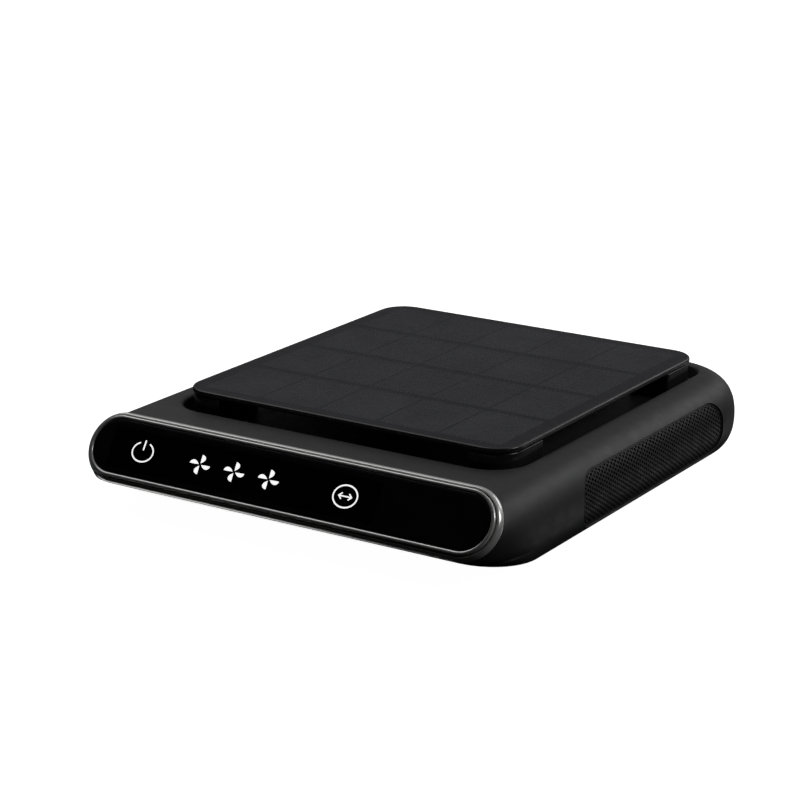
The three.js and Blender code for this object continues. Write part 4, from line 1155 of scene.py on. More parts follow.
class PURIFIER_OT_display_glass(bpy.types.Operator):
    """Makes the touch glass, its window and its lit symbols"""

    bl_idname = "purifier.display_glass"
    bl_label = "Display glass"

    def fan(self, centre, half_width, half_height):
        """Four swept blades round a middle."""
        blade = [
            (0.12, 0), (0.3, 8), (0.5, 11), (0.75, 11), (0.98, 11), (1.0, 8), (0.98, 2),
            (0.93, -8), (0.84, -17), (0.7, -24), (0.54, -28), (0.38, -28), (0.24, -20),
        ]
        parts = []
        for quarter in range(4):
            turn = math.radians(90 * quarter + 80)
            points = [
                (
                    centre[0] + half_width * r * math.cos(turn + math.radians(a)),
                    centre[1] + half_height * r * math.sin(turn + math.radians(a)),
                )
                for r, a in blade
            ]
            parts.append(print_on_face(points[::-1], 0.025))
        return parts

    def ring(self, centre, half_width, half_height, width):
        """A plain closed ring."""
        inner = circle(0, 0, 1.0, 64)
        rows = []
        for grow, out in ((-1, 0.025), (1, 0.025), (1, 0.037), (-1, 0.037)):
            scale = np.array([half_width + grow * width / 2, half_height + grow * width / 2])
            rows.append(on_face(level(inner * scale + centre, out)))
        return skin(rows, closed=True)

    def execute(self, context):
        display = context.scene.purifier_display
        radius, thick, bevel = mm(display.glass_radius), mm(display.glass_thick), 0.22
        section = [
            (radius, -thick),
            (radius, -bevel),
            (radius - 0.07, -0.07),
            (radius - bevel, 0.0),
            (radius - 2.0, 0.0),
        ]
        glass = new_piece(
            "touch_glass_pane", [skin(face_rows(display, section), first_cap=True, last_cap=True)], 50
        )
        finish_piece(glass, "base", ["touch_glass"], [FINISHES["display_glass"]])

        window = rounded_rectangle(
            -mm(display.window_left),
            mm(display.window_right),
            -mm(display.window_low),
            mm(display.window_high),
            0.4,
            4,
        )
        pane = new_piece("display_window", [print_on_face(window, 0.004)])
        finish_piece(pane, "base", [], [FINISHES["window"]])

        stroke = mm(display.stroke)
        half_w, half_h = mm(display.symbol_width) / 2, mm(display.symbol_height) / 2
        drop = -mm(display.symbol_drop)
        power = (-76.9, drop)
        gap = math.radians(30)
        turns = np.linspace(math.pi / 2 + gap, math.pi / 2 + TURN - gap, 49)
        scale_w, scale_h = half_w - stroke / 2, half_h - stroke / 2
        open_ring = np.stack([power[0] + scale_w * np.cos(turns), power[1] + scale_h * np.sin(turns)], axis=1)
        bar = np.stack([np.full(5, power[0]), power[1] + np.linspace(0.25, 1.15, 5) * scale_h], axis=1)
        parts = [print_on_face(stroke_outline(open_ring, stroke), 0.025)]
        parts.append(print_on_face(stroke_outline(bar, stroke * 1.1), 0.025))
        for x in (-44.5, -25.7, -7.0):
            parts += self.fan((x, drop), mm(display.fan_width) / 2, mm(display.fan_height) / 2)
        centre = np.array([33.4, drop])
        parts.append(self.ring(centre, 6.1, 4.95, stroke))
        arrow_stroke, print_height = 0.6, 0.025
        shaft = np.stack([centre[0] + np.linspace(-2.6, 2.6, 5), np.full(5, drop)], axis=1)
        parts.append(print_on_face(stroke_outline(shaft, arrow_stroke), print_height))
        for side in (-1, 1):
            tip = centre + (side * 3.4, 0)
            head = [
                tip + (-side * 1.5, 1.25), tip + (-side * 0.75, 0.62), tip,
                tip + (-side * 0.75, -0.62), tip + (-side * 1.5, -1.25)
            ]
            parts.append(print_on_face(stroke_outline(head, arrow_stroke), print_height))
        symbols = new_piece("display_symbols", parts)
        finish_piece(symbols, "base", [], [FINISHES["symbol"]])
        return {"FINISHED"}


class PURIFIER_OT_solar_panel(bpy.types.Operator):
    """Makes the solar panel's tray, sheet, cells and contact lines"""

    bl_idname = "purifier.solar_panel"
    bl_label = "Solar panel"

    def execute(self, context):
        panel = context.scene.purifier_panel
        half, front, back = mm(panel.half_width), mm(panel.front), mm(panel.back)
        top, low, corner = mm(panel.top), mm(panel.top - panel.thick), mm(panel.corner)
        rim = mm(panel.rim)

        def outline(inset):
            return rounded_rectangle(
                -half + inset, half - inset, front + inset, back - inset, corner - inset, 16
            )

        seat = top - 1.2
        rows = [
            level(outline(0.6 * (1 - math.sin(t))), low + 0.6 * (1 - math.cos(t)))
            for t in np.linspace(0, math.pi / 2, 5)
        ]
        rows += [
            level(outline(0.75 * (1 - math.cos(t))), top - 0.75 * (1 - math.sin(t)))
            for t in np.linspace(0, math.pi / 2, 6)
        ]
        rows += [level(outline(rim - 0.15), top), level(outline(rim), top - 0.15), level(outline(rim), seat)]
        tray = new_piece("solar_panel_tray", [skin(rows, first_cap=True, last_cap=True)], 40)
        finish_piece(tray, "base", ["solar_tray"], [FINISHES["tray_plastic"]])

        sheet_top = top - 0.1
        sheet = rounded_block(lambda inset: outline(rim + 0.12 + inset), seat + 0.2, sheet_top, 0.1, 0.2, 3)
        sheet = new_piece("solar_panel_sheet", [sheet], 40)
        finish_piece(sheet, "base", ["solar_laminate"], [FINISHES["solar_cells"]])

        pitch_x, pitch_y = mm(panel.column_pitch), mm(panel.row_pitch)
        cell_w, cell_l = pitch_x - mm(panel.column_gap), pitch_y - mm(panel.row_gap)
        shape = rounded_rectangle(-cell_w / 2, cell_w / 2, -cell_l / 2, cell_l / 2, 0.6, 3)
        cells = new_piece("solar_cells", [upright(shape, sheet_top - 0.02, sheet_top + 0.03)])
        at_origin(cells)
        middle = (0, glass_middle().y + (panel.front + panel.back) / 2, 0)
        spread_on_grid(
            cells, panel.columns, panel.rows, panel.column_pitch, panel.row_pitch, middle, FINISHES["cell"]
        )
        finish_piece(cells, "base", [], [FINISHES["cell"]])

        width = mm(panel.finger_width)
        step = cell_w / panel.fingers
        lines = []
        for i in range(panel.fingers):
            x = -cell_w / 2 + (i + 0.5) * step
            line = rounded_rectangle(
                x - width / 2, x + width / 2, -cell_l / 2 + 0.7, cell_l / 2 - 0.7, width / 2.2, 1
            )
            lines.append(upright(line, sheet_top, sheet_top + 0.036))
        fingers = new_piece("solar_contact_lines", lines)
        at_origin(fingers)
        spread_on_grid(
            fingers, panel.columns, panel.rows, panel.column_pitch, panel.row_pitch, middle,
            FINISHES["finger"]
        )
        finish_piece(fingers, "base", [], [FINISHES["finger"]])
        return {"FINISHED"}


class PURIFIER_OT_panel_posts(bpy.types.Operator):
    """Makes the four posts between the panel and the recess"""

    bl_idname = "purifier.panel_posts"
    bl_label = "Panel posts"

    def execute(self, context):
        panel = context.scene.purifier_panel
        half_w, half_l = mm(panel.post_width) / 2, mm(panel.post_length) / 2
        names = [f"panel_post_{a}_{b}" for a in ("front", "rear") for b in ("right", "left")]
        middle_y = mm(panel.front + panel.back) / 2
        big = mm(panel.corner - panel.post_inset)
        parts = []
        for name in names:
            x, y = node_middle(name)
            low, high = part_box(name)
            sides = [(1, 1), (-1, 1), (-1, -1), (1, -1)]
            outer = (math.copysign(1, x), 1 if y > middle_y else -1)
            radii = [big if side == outer else 1.6 for side in sides]

            def outline(inset):
                return rounded_rectangle(
                    x - half_w + inset,
                    x + half_w - inset,
                    y - half_l + inset,
                    y + half_l - inset,
                    [r - inset for r in radii],
                    10,
                )

            parts.append(rounded_block(outline, mm(low.z), mm(high.z), 0.5, 0.7))
        posts = new_piece("panel_posts", parts)
        finish_piece(posts, "base", names, [FINISHES["post_plastic"]])
        return {"FINISHED"}


class PURIFIER_OT_air_outlet(bpy.types.Operator):
    """Makes the outlet's vaned ring and the ion needle in the recess"""

    bl_idname = "purifier.air_outlet"
    bl_label = "Air outlet"

    def execute(self, context):
        blower = mm(context.scene.purifier_case.blower_back)
        low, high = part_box("outlet_grille")
        z0, z1 = mm(low.z), mm(high.z)
        rim = mm(high.x)
        hub, throat = 43.0, 50.0
        soft = [0.0, 0.25, 0.7]
        disc = [(hub - 0.7, z0), (hub, z0 + 0.5)]
        disc += [(hub - s, z1 - 0.7 + d) for s, d in zip(soft, (0.0, 0.45, 0.7))]
        disc += [(hub - 6, z1), (hub - 6.6, z1 - 0.5), (hub - 20, z1 - 0.5), (hub - 20.5, z1 - 0.2)]
        parts = [turned(0, blower, [(0.0, z0)] + disc + [(0.0, z1 - 0.2)], 96)]
        band = [
            (throat, z0), (rim, z0), (rim, z1 - 0.3), (rim - 0.3, z1), (throat + 0.6, z1),
            (throat, z1 - 0.6)
        ]
        parts.append(skin([level(circle(0, blower, r, 96), z) for r, z in band], closed=True))
        ring = new_piece("outlet_hub_and_rim", parts)
        finish_piece(ring, "base", ["outlet_grille"], [FINISHES["grille_plastic"]])

        def vane(inset):
            return np.array([
                (hub - 0.8, -4.0 + inset), (throat + 0.8, -4.6 + inset),
                (throat + 0.8, 4.6 - inset), (hub - 0.8, 4.0 - inset)
            ])

        vanes = new_piece("outlet_vanes", [rounded_block(vane, z0 + 0.1, z1 - 0.15, 0.4, 0.8)])
        at_origin(vanes)
        spread_round(vanes, 24, (0, glass_middle().y + blower * MM, 0), FINISHES["grille_plastic"])
        finish_piece(vanes, "base", [], [FINISHES["grille_plastic"]])

        x, y = node_middle("ion_emitter")
        low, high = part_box("ion_emitter")
        z, radius, tip = mm(low.z), mm(high.x - low.x) / 2, mm(high.z)
        profile = [
            (0.0, z), (radius, z), (radius, z + 2.3), (radius - 0.25, z + 2.85),
            (radius - 0.9, z + 3.0)
        ]
        profile += [(0.75, z + 3.0), (0.5, z + 3.3), (0.5, tip - 1.3), (0.3, tip - 0.6), (0.05, tip)]
        emitter = new_piece("ion_needle", [turned(x, y, profile, 32)], 40)
        finish_piece(emitter, "base", ["ion_emitter"], [FINISHES["emitter_steel"]])
        return {"FINISHED"}


class PURIFIER_OT_filter_doors(bpy.types.Operator):
    """Makes the perforated doors, their edge walls and the lips round them"""

    bl_idname = "purifier.filter_doors"
    bl_label = "Filter doors"

    def perforate(self, piece, doors, form, side):
        """Fills the door's outline with staggered holes and bends it to the case."""
        pitch = doors.hole_pitch
        margin = doors.band + 0.0002
        recipe = Recipe(
            "Staggered perforations",
            pitch=float(pitch),
            half_length=doors.length / 2 - margin,
            half_height=doors.height / 2 - margin,
            corner=doors.corner - margin,
            thickness=float(doors.skin),
            centre=Vector((0, glass_middle().y + doors.centre, doors.base + doors.height / 2)),
            case_middle=form.middle * MM,
            case_half_width=(form.half_width - mm(doors.sink) - 0.12) * MM,
            case_half_height=(form.half_height - mm(doors.sink)) * MM,
            side_round=(form.round - mm(doors.sink)) * MM,
            side_power=form.power,
            side=float(side),
            material=FINISHES["case_plastic"],
        )
        column_pitch = recipe.math("MULTIPLY", recipe["pitch"], math.sqrt(3) / 2)
        pair_pitch = recipe.math("MULTIPLY", column_pitch, 2.0)
        grids = []
        for shift in (0.0, 0.5):
            spaces_along = recipe.math("FLOOR", recipe.math("DIVIDE", recipe["half_length"], column_pitch))
            whole = recipe.math("MULTIPLY", recipe["half_height"], 2.0)
            spaces_up = recipe.math("FLOOR", recipe.math("DIVIDE", whole, recipe["pitch"]))
            along = recipe.math("ADD", spaces_along, 3.0)
            up = recipe.math("ADD", spaces_up, 3.0)
            grid = recipe.add(
                "GeometryNodeMeshGrid",
                Size_X=recipe.math("MULTIPLY", recipe.math("SUBTRACT", along, 1.0), pair_pitch),
                Size_Y=recipe.math("MULTIPLY", recipe.math("SUBTRACT", up, 1.0), recipe["pitch"]),
                Vertices_X=along,
                Vertices_Y=up,
            )
            aside = recipe.math("MULTIPLY", pair_pitch, shift)
            moved = recipe.add(
                "GeometryNodeSetPosition",
                Geometry=grid.outputs[0],
                Offset=recipe.vector(aside, recipe.math("MULTIPLY", recipe["pitch"], shift)),
            )
            grids.append(moved.outputs[0])
        both = recipe.add("GeometryNodeJoinGeometry")
        for grid in grids:
            recipe.tree.links.new(grid, both.inputs[0])
        spots = recipe.add("GeometryNodeMeshToPoints", Mesh=both.outputs[0])

        x, y, _ = recipe.apart(recipe.add("GeometryNodeInputPosition").outputs[0])
        past_x = recipe.math(
            "SUBTRACT", recipe.math("ABSOLUTE", x),
            recipe.math("SUBTRACT", recipe["half_length"], recipe["corner"])
        )
        past_y = recipe.math(
            "SUBTRACT", recipe.math("ABSOLUTE", y),
            recipe.math("SUBTRACT", recipe["half_height"], recipe["corner"])
        )
        out_x, out_y = recipe.math("MAXIMUM", past_x, 0.0), recipe.math("MAXIMUM", past_y, 0.0)
        reach = recipe.math(
            "SQRT",
            recipe.math("ADD", recipe.math("MULTIPLY", out_x, out_x), recipe.math("MULTIPLY", out_y, out_y))
        )
        outside = recipe.math("GREATER_THAN", reach, recipe["corner"])
        kept = recipe.add("GeometryNodeDeleteGeometry", Geometry=spots.outputs[0], Selection=outside)
        tiles = recipe.add("GeometryNodeInstanceOnPoints", Points=kept.outputs[0], Instance=recipe.shape)
        real = recipe.add("GeometryNodeRealizeInstances", Geometry=tiles.outputs[0])
        sheet = recipe.add("GeometryNodeMergeByDistance", Geometry=real.outputs[0], Distance=pitch * 0.02)
        raised = recipe.add(
            "GeometryNodeExtrudeMesh",
            Mesh=sheet.outputs[0],
            Offset=(0, 0, 1),
            Offset_Scale=recipe["thickness"],
            Individual=False,
        )
        under = recipe.add("GeometryNodeFlipFaces", Mesh=sheet.outputs[0])
        closed = recipe.add("GeometryNodeJoinGeometry")
        recipe.tree.links.new(raised.outputs[0], closed.inputs[0])
        recipe.tree.links.new(under.outputs[0], closed.inputs[0])
        welded = recipe.add("GeometryNodeMergeByDistance", Geometry=closed.outputs[0], Distance=pitch * 0.02)

        place = recipe.add("GeometryNodeInputPosition").outputs[0]
        x, y, z = recipe.apart(place)
        _, centre_y, centre_z = recipe.apart(recipe["centre"])
        world_y = recipe.math("ADD", recipe.math("MULTIPLY", x, recipe["side"]), centre_y)
        world_z = recipe.math("ADD", y, centre_z)
        height = recipe.math("ABSOLUTE", recipe.math("SUBTRACT", world_z, recipe["case_middle"]))
        share = recipe.math(
            "POWER", recipe.math("DIVIDE", height, recipe["case_half_height"]), recipe["side_power"]
        )
        full = recipe.math(
            "POWER", recipe.math("SUBTRACT", 1.0, share),
            recipe.math("DIVIDE", 1.0, recipe["side_power"])
        )
        draw = recipe.math("MULTIPLY", recipe["side_round"], recipe.math("SUBTRACT", 1.0, full))
        surface = recipe.math("SUBTRACT", recipe["case_half_width"], draw)
        depth = recipe.math("ADD", surface, recipe.math("SUBTRACT", z, recipe["thickness"]))
        bent = recipe.add(
            "GeometryNodeSetPosition",
            Geometry=welded.outputs[0],
            Position=recipe.vector(recipe.math("MULTIPLY", depth, recipe["side"]), world_y, world_z),
        )
        recipe.apply(piece, bent.outputs[0], recipe["material"])

    def tile(self, doors):
        """One flat six-sided tile with a round hole, twelve faces."""
        pitch, hole = mm(doors.hole_pitch), mm(doors.hole_width) / 2
        flat = pitch / 2
        outer, inner = [], []
        for i in range(12):
            turn = math.radians(30 * (i + 1))
            reach = flat if i % 2 == 0 else flat / math.cos(math.radians(30))
            outer.append((reach * math.cos(turn), reach * math.sin(turn), 0.0))
            inner.append((hole * math.cos(turn), hole * math.sin(turn), 0.0))
        return skin([np.array(outer), np.array(inner)])

    def surround(self, form, doors, side):
        """The door's plain edge band and edge wall, as one closed ring."""
        fit = 0.3
        sink, skirt, band = mm(doors.sink), mm(doors.skirt), mm(doors.band)
        wall_x = mm(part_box("filter_frame_right")[1].x) + fit
        section = [
            (0.0, None), (0.0, -0.3), (0.08, -0.1), (0.28, 0.0),
            (band - 0.1, 0.0), (band, -0.08), (band + 0.05, -0.5), (skirt, -1.2), (skirt, None),
        ]
        rows = []
        for inset, out in section:
            outline = door_outline(doors, fit + inset)
            if out is None:
                x = np.full(len(outline), wall_x)
            else:
                x = np.array([form.side_x(z, sink) + out for z in outline[:, 1]])
            rows.append(np.column_stack([x, outline]))
        if side < 0:
            rows = [row[::-1] * (-1, 1, 1) for row in rows]
        return skin(rows[::-1], closed=True)

    def lip(self, form, doors, side):
        """Rounded edge of the case round the door."""
        outline = door_outline(doors, -0.06, 20)
        path = np.array([(side * (form.side_x(z) - 0.22), y, z) for y, z in outline])
        name = "right" if side > 0 else "left"
        mesh = bpy.data.meshes.new(f"door_lip_{name}")
        places = to_frame(path).tolist()
        mesh.from_pydata(places, [(i, (i + 1) % len(places)) for i in range(len(places))], [])
        bead = bpy.data.objects.new(f"door_lip_{name}", mesh)
        bpy.context.scene.collection.objects.link(bead)
        bead_along(bead, doors.lip, FINISHES["case_plastic"])
        soften(bead, 60)
        finish_piece(bead, "base", [], [FINISHES["case_plastic"]])

    def execute(self, context):
        scene = context.scene
        doors = scene.purifier_doors
        form = CaseForm(scene)
        for side, name in ((1, "right"), (-1, "left")):
            sheet = new_piece(f"door_sheet_{name}", [self.tile(doors)])
            at_origin(sheet)
            self.perforate(sheet, doors, form, side)
            soften(sheet, 40)
            body = f"filter_unit_{name}"
            finish_piece(sheet, body, [], [FINISHES["case_plastic"]])
            edge = new_piece(f"door_edge_{name}", [self.surround(form, doors, side)], 50)
            finish_piece(edge, body, [f"filter_door_{name}"], [FINISHES["case_plastic"]])
            self.lip(form, doors, side)
        return {"FINISHED"}


class PURIFIER_OT_filters(bpy.types.Operator):
    """Makes the filters' frames and pleated paper"""

    bl_idname = "purifier.filters"
    bl_label = "Filters"

    def paper(self, doors, side, inner, outer, clear):
        """Pleated paper, as a closed folded sheet."""
        y0 = mm(doors.centre - doors.length / 2) + clear
        y1 = mm(doors.centre + doors.length / 2) - clear
        corner = mm(doors.corner) - clear
        low, high = mm(doors.base) + clear, mm(doors.base + doors.height) - clear
        steps = 8 * doors.pleats
        near, far = [], []
        for i in range(steps + 1):
            y = y0 + (y1 - y0) * i / steps
            wave = math.asin(0.97 * math.sin(TURN * (i / 8 - 0.25))) / math.asin(0.97)
            x = inner + (outer - inner) * (0.5 + 0.5 * wave)
            edge = max(0.0, corner - min(y - y0, y1 - y))
            pull = corner - math.sqrt(max(0.0, corner**2 - edge**2))
            near.append((side * x, y, low + pull, high - pull))
            far.append((side * (x + 0.45), y, low + pull, high - pull))
        rows = []
        for strip, pick in ((near, 2), (far, 2), (far, 3), (near, 3)):
            rows.append(np.array([(x, y, z[pick - 2]) for x, y, *z in strip]))
        points = np.vstack(rows)
        wide = steps + 1
        faces = []
        for row in range(4):
            a, b = row * wide, ((row + 1) % 4) * wide
            faces += [(a + i, a + i + 1, b + i + 1, b + i) for i in range(steps)]
        faces += [(0, wide, 2 * wide, 3 * wide), (steps, steps + 3 * wide, steps + 2 * wide, steps + wide)]
        if side < 0:
            faces = [face[::-1] for face in faces]
        return points, faces

    def execute(self, context):
        doors = context.scene.purifier_doors
        wall = mm(doors.frame_wall)
        for side, name in ((1, "right"), (-1, "left")):
            low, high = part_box(f"filter_frame_{name}")
            inner, outer = sorted((abs(mm(low.x)), abs(mm(high.x))))
            rows = []
            for inset, x in (
                (0.3, inner + 0.3), (0.6, inner), (0.3 + wall - 0.2, inner), (0.3 + wall, inner + 0.3),
                (0.3 + wall, outer - 0.3), (0.3 + wall - 0.2, outer), (0.6, outer), (0.3, outer - 0.3),
            ):
                outline = door_outline(doors, inset)
                rows.append(np.column_stack([np.full(len(outline), x), outline]))
            if side < 0:
                rows = [row[::-1] * (-1, 1, 1) for row in rows]
            edge = new_piece(f"filter_edge_{name}", [skin(rows[::-1], closed=True)])
            body = f"filter_unit_{name}"
            finish_piece(edge, body, [f"filter_frame_{name}"], [FINISHES["filter_plastic"]])
            part = self.paper(doors, side, inner + 0.5, outer - 1.0, 0.3 + wall + 0.02)
            paper = new_piece(f"filter_pleats_{name}", [part], 60)
            finish_piece(paper, body, [f"filter_media_{name}"], [FINISHES["filter_paper"]])
        return {"FINISHED"}


class PURIFIER_OT_feet_and_screws(bpy.types.Operator):
    """Makes the rubber feet, the case and post screws and the charging socket"""

    bl_idname = "purifier.feet_and_screws"
    bl_label = "Feet, screws and socket"

    def screw(self, head_z, up, reach):
        """A screw without its cross, drawn about the origin; its head faces away from up."""
        profile = [(0.0, 0.0), (2.0, 0.0), (2.55, 0.25), (2.8, 0.75), (2.8, 1.45), (2.65, 1.6), (1.3, 1.6)]
        for i in range(int((reach - 3) / 0.5)):
            z = 2.0 + 0.5 * i
            profile += [(1.05, z), (1.3, z + 0.25)]
        profile += [(1.0, reach - 0.6), (0.3, reach)]
        part = turned(0, 0, [(r, head_z + up * z) for r, z in profile], 28)
        if up < 0:
            part = (part[0], [face[::-1] for face in part[1]])
        return part

    def cross(self, head_z, up):
        cutters = []
        for half_x, half_y in ((1.5, 0.3), (0.3, 1.5)):
            shape = np.array([(-half_x, -half_y), (half_x, -half_y), (half_x, half_y), (-half_x, half_y)])
            z0, z1 = sorted((head_z - up * 0.5, head_z + up * 0.9))
            cutters.append(new_piece("screw_cross", [upright(shape, z0, z1)]))
        for cutter in cutters:
            at_origin(cutter)
        return cutters

    def execute(self, context):
        scene = context.scene
        case = scene.purifier_case
        names = [f"{a}_{b}" for a in ("front", "rear") for b in ("right", "left")]

        low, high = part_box("foot_front_right")
        radius, top = mm(case.foot_radius), mm(high.z)
        profile = [
            (0.0, 0.25), (3.0, 0.25), (3.3, 0.0), (radius - 0.7, 0.0), (radius - 0.2, 0.2),
            (radius, 0.7)
        ]
        foot = new_piece("rubber_feet", [turned(0, 0, profile + [(radius, top), (0.0, top)], 40)], 45)
        at_origin(foot)
        middle_y = glass_middle().y + (case.foot_front + case.foot_back) / 2
        spread_on_grid(
            foot, 2, 2, 2 * case.foot_half, case.foot_back - case.foot_front, (0, middle_y, 0),
            FINISHES["rubber"]
        )
        finish_piece(foot, "base", [f"foot_{name}" for name in names], [FINISHES["rubber"]])

        low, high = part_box("case_screw_front_right")
        blank = new_piece("case_screw_blank", [self.screw(mm(low.z), 1, mm(high.z - low.z))], 40)
        at_origin(blank)
        carve(blank, self.cross(mm(low.z), 1), 40)
        shape = [
            np.array([v.co[:] for v in blank.data.vertices]),
            [tuple(p.vertices) for p in blank.data.polygons]
        ]
        bpy.data.objects.remove(blank)
        parts = []
        for name in names:
            x, y = node_middle(f"case_screw_{name}")
            parts.append((mm(shape[0]) + (x, y, 0), shape[1]))
        screws = new_piece("case_screws", parts, 40, 1e-7)
        finish_piece(
            screws, "base", [f"case_screw_{name}" for name in names], [FINISHES["screw_steel"]]
        )

        low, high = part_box("post_screw_front_right")
        post = new_piece("post_screws", [self.screw(mm(low.z), 1, mm(high.z - low.z))], 40)
        at_origin(post)
        carve(post, self.cross(mm(low.z), 1), 40)
        x, y_front = node_middle("post_screw_front_right")
        _, y_rear = node_middle("post_screw_rear_right")
        middle_y = glass_middle().y + (y_front + y_rear) / 2 * MM
        spread_on_grid(
            post, 2, 2, 2 * x * MM, (y_rear - y_front) * MM, (0, middle_y, 0),
            FINISHES["screw_steel"]
        )
        finish_piece(
            post, "base", [f"post_screw_{name}" for name in names], [FINISHES["screw_steel"]]
        )

        low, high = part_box("usb_socket")
        shift = glass_middle().y
        x0, x1, z0, z1 = mm(low.x), mm(high.x), mm(low.z), mm(high.z)
        y0, y1 = mm(low.y - shift), mm(high.y - shift)

        def shell(inset, y):
            outline = rounded_rectangle(
                x0 + inset, x1 - inset, z0 + inset, z1 - inset, (z1 - z0) / 2 - inset - 0.01, 8
            )
            return np.column_stack([outline[:, 0], np.full(len(outline), y), outline[:, 1]])[::-1]

        rows = [
            shell(0.0, y0), shell(0.0, y1 - 0.1), shell(0.1, y1), shell(0.3, y1),
            shell(0.4, y1 - 0.1), shell(0.4, y0 + 1)
        ]
        tongue_x, tongue_z = (x1 - x0) / 2 - 1.3, 0.35
        middle_x, middle_z = (x0 + x1) / 2, (z0 + z1) / 2

        def tongue(inset, y):
            outline = rounded_rectangle(
                middle_x - tongue_x + inset, middle_x + tongue_x - inset,
                middle_z - tongue_z + inset, middle_z + tongue_z - inset, 0.2, 3
            )
            return np.column_stack([outline[:, 0], np.full(len(outline), y), outline[:, 1]])[::-1]

        parts = [skin(rows, first_cap=True, last_cap=True)]
        metal = new_piece("charging_socket", parts, 50)
        finish_piece(metal, "base", ["usb_socket"], [FINISHES["emitter_steel"]])
        blade = skin(
            [tongue(0, y0 + 0.9), tongue(0, y1 - 0.8), tongue(0.12, y1 - 0.6)], first_cap=True,
            last_cap=True
        )
        blade = new_piece("charging_socket_tongue", [blade])
        finish_piece(blade, "base", [], [FINISHES["potted_box"]])
        return {"FINISHED"}


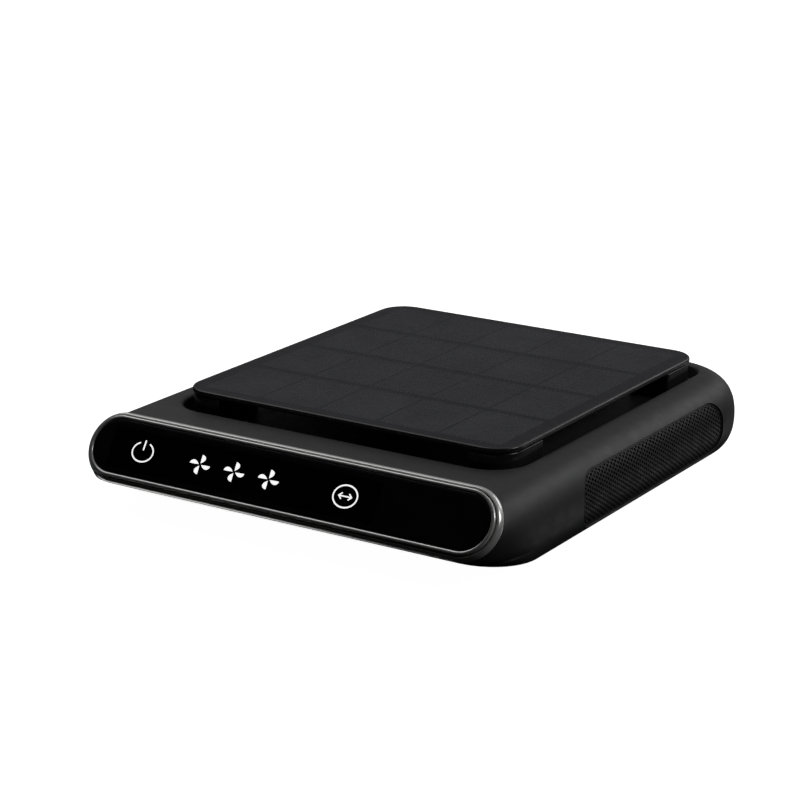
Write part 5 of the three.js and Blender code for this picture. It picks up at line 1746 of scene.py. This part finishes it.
class PURIFIER_OT_studio(bpy.types.Operator):
    """Makes the pale floor, the soft lights and the camera"""

    bl_idname = "purifier.studio"
    bl_label = "Studio"

    def soft_light(self, name, place, target, width, height, power):
        lamp = bpy.data.lights.new(name, "AREA")
        lamp.shape = "RECTANGLE"
        lamp.size, lamp.size_y, lamp.energy = width, height, power
        holder = bpy.data.objects.new(name, lamp)
        holder.location = place
        aim = Vector(target) - Vector(place)
        holder.rotation_euler = aim.to_track_quat("-Z", "Y").to_euler()
        bpy.context.scene.collection.objects.link(holder)
        holder.visible_camera = False
        return holder

    def floor_material(self, glow):
        """White that keeps a faint contact shadow; clear from below."""
        material = bpy.data.materials.new("Pale floor")
        material.use_nodes = True
        tree = material.node_tree
        tree.nodes.clear()
        out = tree.nodes.new("ShaderNodeOutputMaterial")
        paint = tree.nodes.new("ShaderNodeBsdfDiffuse")
        paint.inputs["Color"].default_value = (0.85, 0.85, 0.85, 1)
        light = tree.nodes.new("ShaderNodeEmission")
        light.inputs["Strength"].default_value = glow
        both = tree.nodes.new("ShaderNodeAddShader")
        clear = tree.nodes.new("ShaderNodeBsdfTransparent")
        pick = tree.nodes.new("ShaderNodeMixShader")
        side = tree.nodes.new("ShaderNodeNewGeometry")
        tree.links.new(paint.outputs[0], both.inputs[0])
        tree.links.new(light.outputs[0], both.inputs[1])
        tree.links.new(side.outputs["Backfacing"], pick.inputs[0])
        tree.links.new(both.outputs[0], pick.inputs[1])
        tree.links.new(clear.outputs[0], pick.inputs[2])
        tree.links.new(pick.outputs[0], out.inputs[0])
        return material

    def world(self, room):
        """White behind the object; what lights it is a dim room, darker low down and in front."""
        world = bpy.data.worlds.new("Soft room")
        world.use_nodes = True
        tree = world.node_tree
        tree.nodes.clear()
        out = tree.nodes.new("ShaderNodeOutputWorld")
        dim = tree.nodes.new("ShaderNodeBackground")
        dim.inputs["Color"].default_value = (1, 1, 1, 1)
        way = tree.nodes.new("ShaderNodeTexCoord")
        parts = tree.nodes.new("ShaderNodeSeparateXYZ")
        lean = tree.nodes.new("ShaderNodeMath")
        rise = tree.nodes.new("ShaderNodeMapRange")
        rise.interpolation_type = "SMOOTHSTEP"
        rise.inputs["From Min"].default_value = 0.05
        rise.inputs["From Max"].default_value = 1.6
        rise.inputs["To Min"].default_value = 0.003
        rise.inputs["To Max"].default_value = room
        white = tree.nodes.new("ShaderNodeBackground")
        white.inputs["Color"].default_value = (1, 1, 1, 1)
        pick = tree.nodes.new("ShaderNodeMixShader")
        path = tree.nodes.new("ShaderNodeLightPath")
        tree.links.new(way.outputs["Generated"], parts.inputs[0])
        tree.links.new(parts.outputs[1], lean.inputs[0])
        tree.links.new(parts.outputs[2], lean.inputs[1])
        tree.links.new(lean.outputs[0], rise.inputs["Value"])
        tree.links.new(rise.outputs["Result"], dim.inputs["Strength"])
        tree.links.new(path.outputs["Is Camera Ray"], pick.inputs[0])
        tree.links.new(dim.outputs[0], pick.inputs[1])
        tree.links.new(white.outputs[0], pick.inputs[2])
        tree.links.new(pick.outputs[0], out.inputs[0])
        bpy.context.scene.world = world

    def execute(self, context):
        studio = context.scene.purifier_studio
        half = studio.floor_size / 2
        mesh = bpy.data.meshes.new("pale_floor")
        corners = [(-half, -half, 0), (half, -half, 0), (half, half, 0), (-half, half, 0)]
        mesh.from_pydata(corners, [], [(0, 1, 2, 3)])
        mesh.materials.append(self.floor_material(studio.floor_glow))
        floor = bpy.data.objects.new("pale_floor", mesh)
        context.scene.collection.objects.link(floor)
        floor.visible_diffuse = False
        floor.visible_glossy = False

        self.world(studio.room)
        aim = (0.0, -0.02, 0.02)
        self.soft_light("Back left", (-0.75, 0.85, 0.85), aim, 0.9, 0.5, 0.2)
        self.soft_light("Back right", (0.45, 1.15, 0.65), aim, 0.8, 0.5, 2.0)
        self.soft_light("High left", (-0.62, 0.08, 0.9), aim, 0.75, 0.75, 2.2)
        self.soft_light("Right side", (1.1, 0.25, 0.75), aim, 0.5, 0.45, 3.9)
        self.soft_light("Low right back", (0.7, 1.0, -0.42), aim, 0.5, 0.3, 0.7)
        self.soft_light("Low left", (-0.72, 0.1, -0.72), (-0.1, 0.0, 0.0), 0.5, 0.5, 0.9)

        back = Vector(studio.camera_back)
        camera = bpy.data.objects.new("Camera", bpy.data.cameras.new("Camera"))
        camera.data.lens = studio.lens
        camera.data.sensor_width = 36.0
        camera.location = glass_middle() + back
        sight = -Vector((0.5214, -0.8011, 0.2939))
        camera.rotation_euler = sight.to_track_quat("-Z", "Y").to_euler()
        context.scene.collection.objects.link(camera)
        context.scene.camera = camera
        context.scene.view_settings.view_transform = "Standard"
        return {"FINISHED"}


OPERATORS = (
    PURIFIER_OT_finishes,
    PURIFIER_OT_top_case,
    PURIFIER_OT_bottom_case,
    PURIFIER_OT_bright_rings,
    PURIFIER_OT_display_glass,
    PURIFIER_OT_solar_panel,
    PURIFIER_OT_panel_posts,
    PURIFIER_OT_air_outlet,
    PURIFIER_OT_filter_doors,
    PURIFIER_OT_filters,
    PURIFIER_OT_feet_and_screws,
    PURIFIER_OT_studio,
)


class PURIFIER_PT_pieces(bpy.types.Panel):
    """Lists the purifier's sizes and pieces"""

    bl_idname = "PURIFIER_PT_pieces"
    bl_label = "Solar car air purifier"
    bl_space_type = "VIEW_3D"
    bl_region_type = "UI"
    bl_category = "Purifier"

    def draw(self, context):
        for operator in OPERATORS:
            self.layout.operator(operator.bl_idname)
        for name, group in GROUPS.items():
            box = self.layout.box()
            box.label(text=group.__doc__)
            for key in group.__annotations__:
                box.prop(getattr(context.scene, name), key)


def register():
    for name, group in GROUPS.items():
        bpy.utils.register_class(group)
        setattr(bpy.types.Scene, name, PointerProperty(type=group))
    for operator in OPERATORS:
        bpy.utils.register_class(operator)
    bpy.utils.register_class(PURIFIER_PT_pieces)


def unregister():
    bpy.utils.unregister_class(PURIFIER_PT_pieces)
    for operator in reversed(OPERATORS):
        bpy.utils.unregister_class(operator)
    for name, group in GROUPS.items():
        delattr(bpy.types.Scene, name)
        bpy.utils.unregister_class(group)


def main():
    register()
    for operator in OPERATORS:
        family, name = operator.bl_idname.split(".")
        getattr(getattr(bpy.ops, family), name)()


if __name__ == "__main__":
    main()
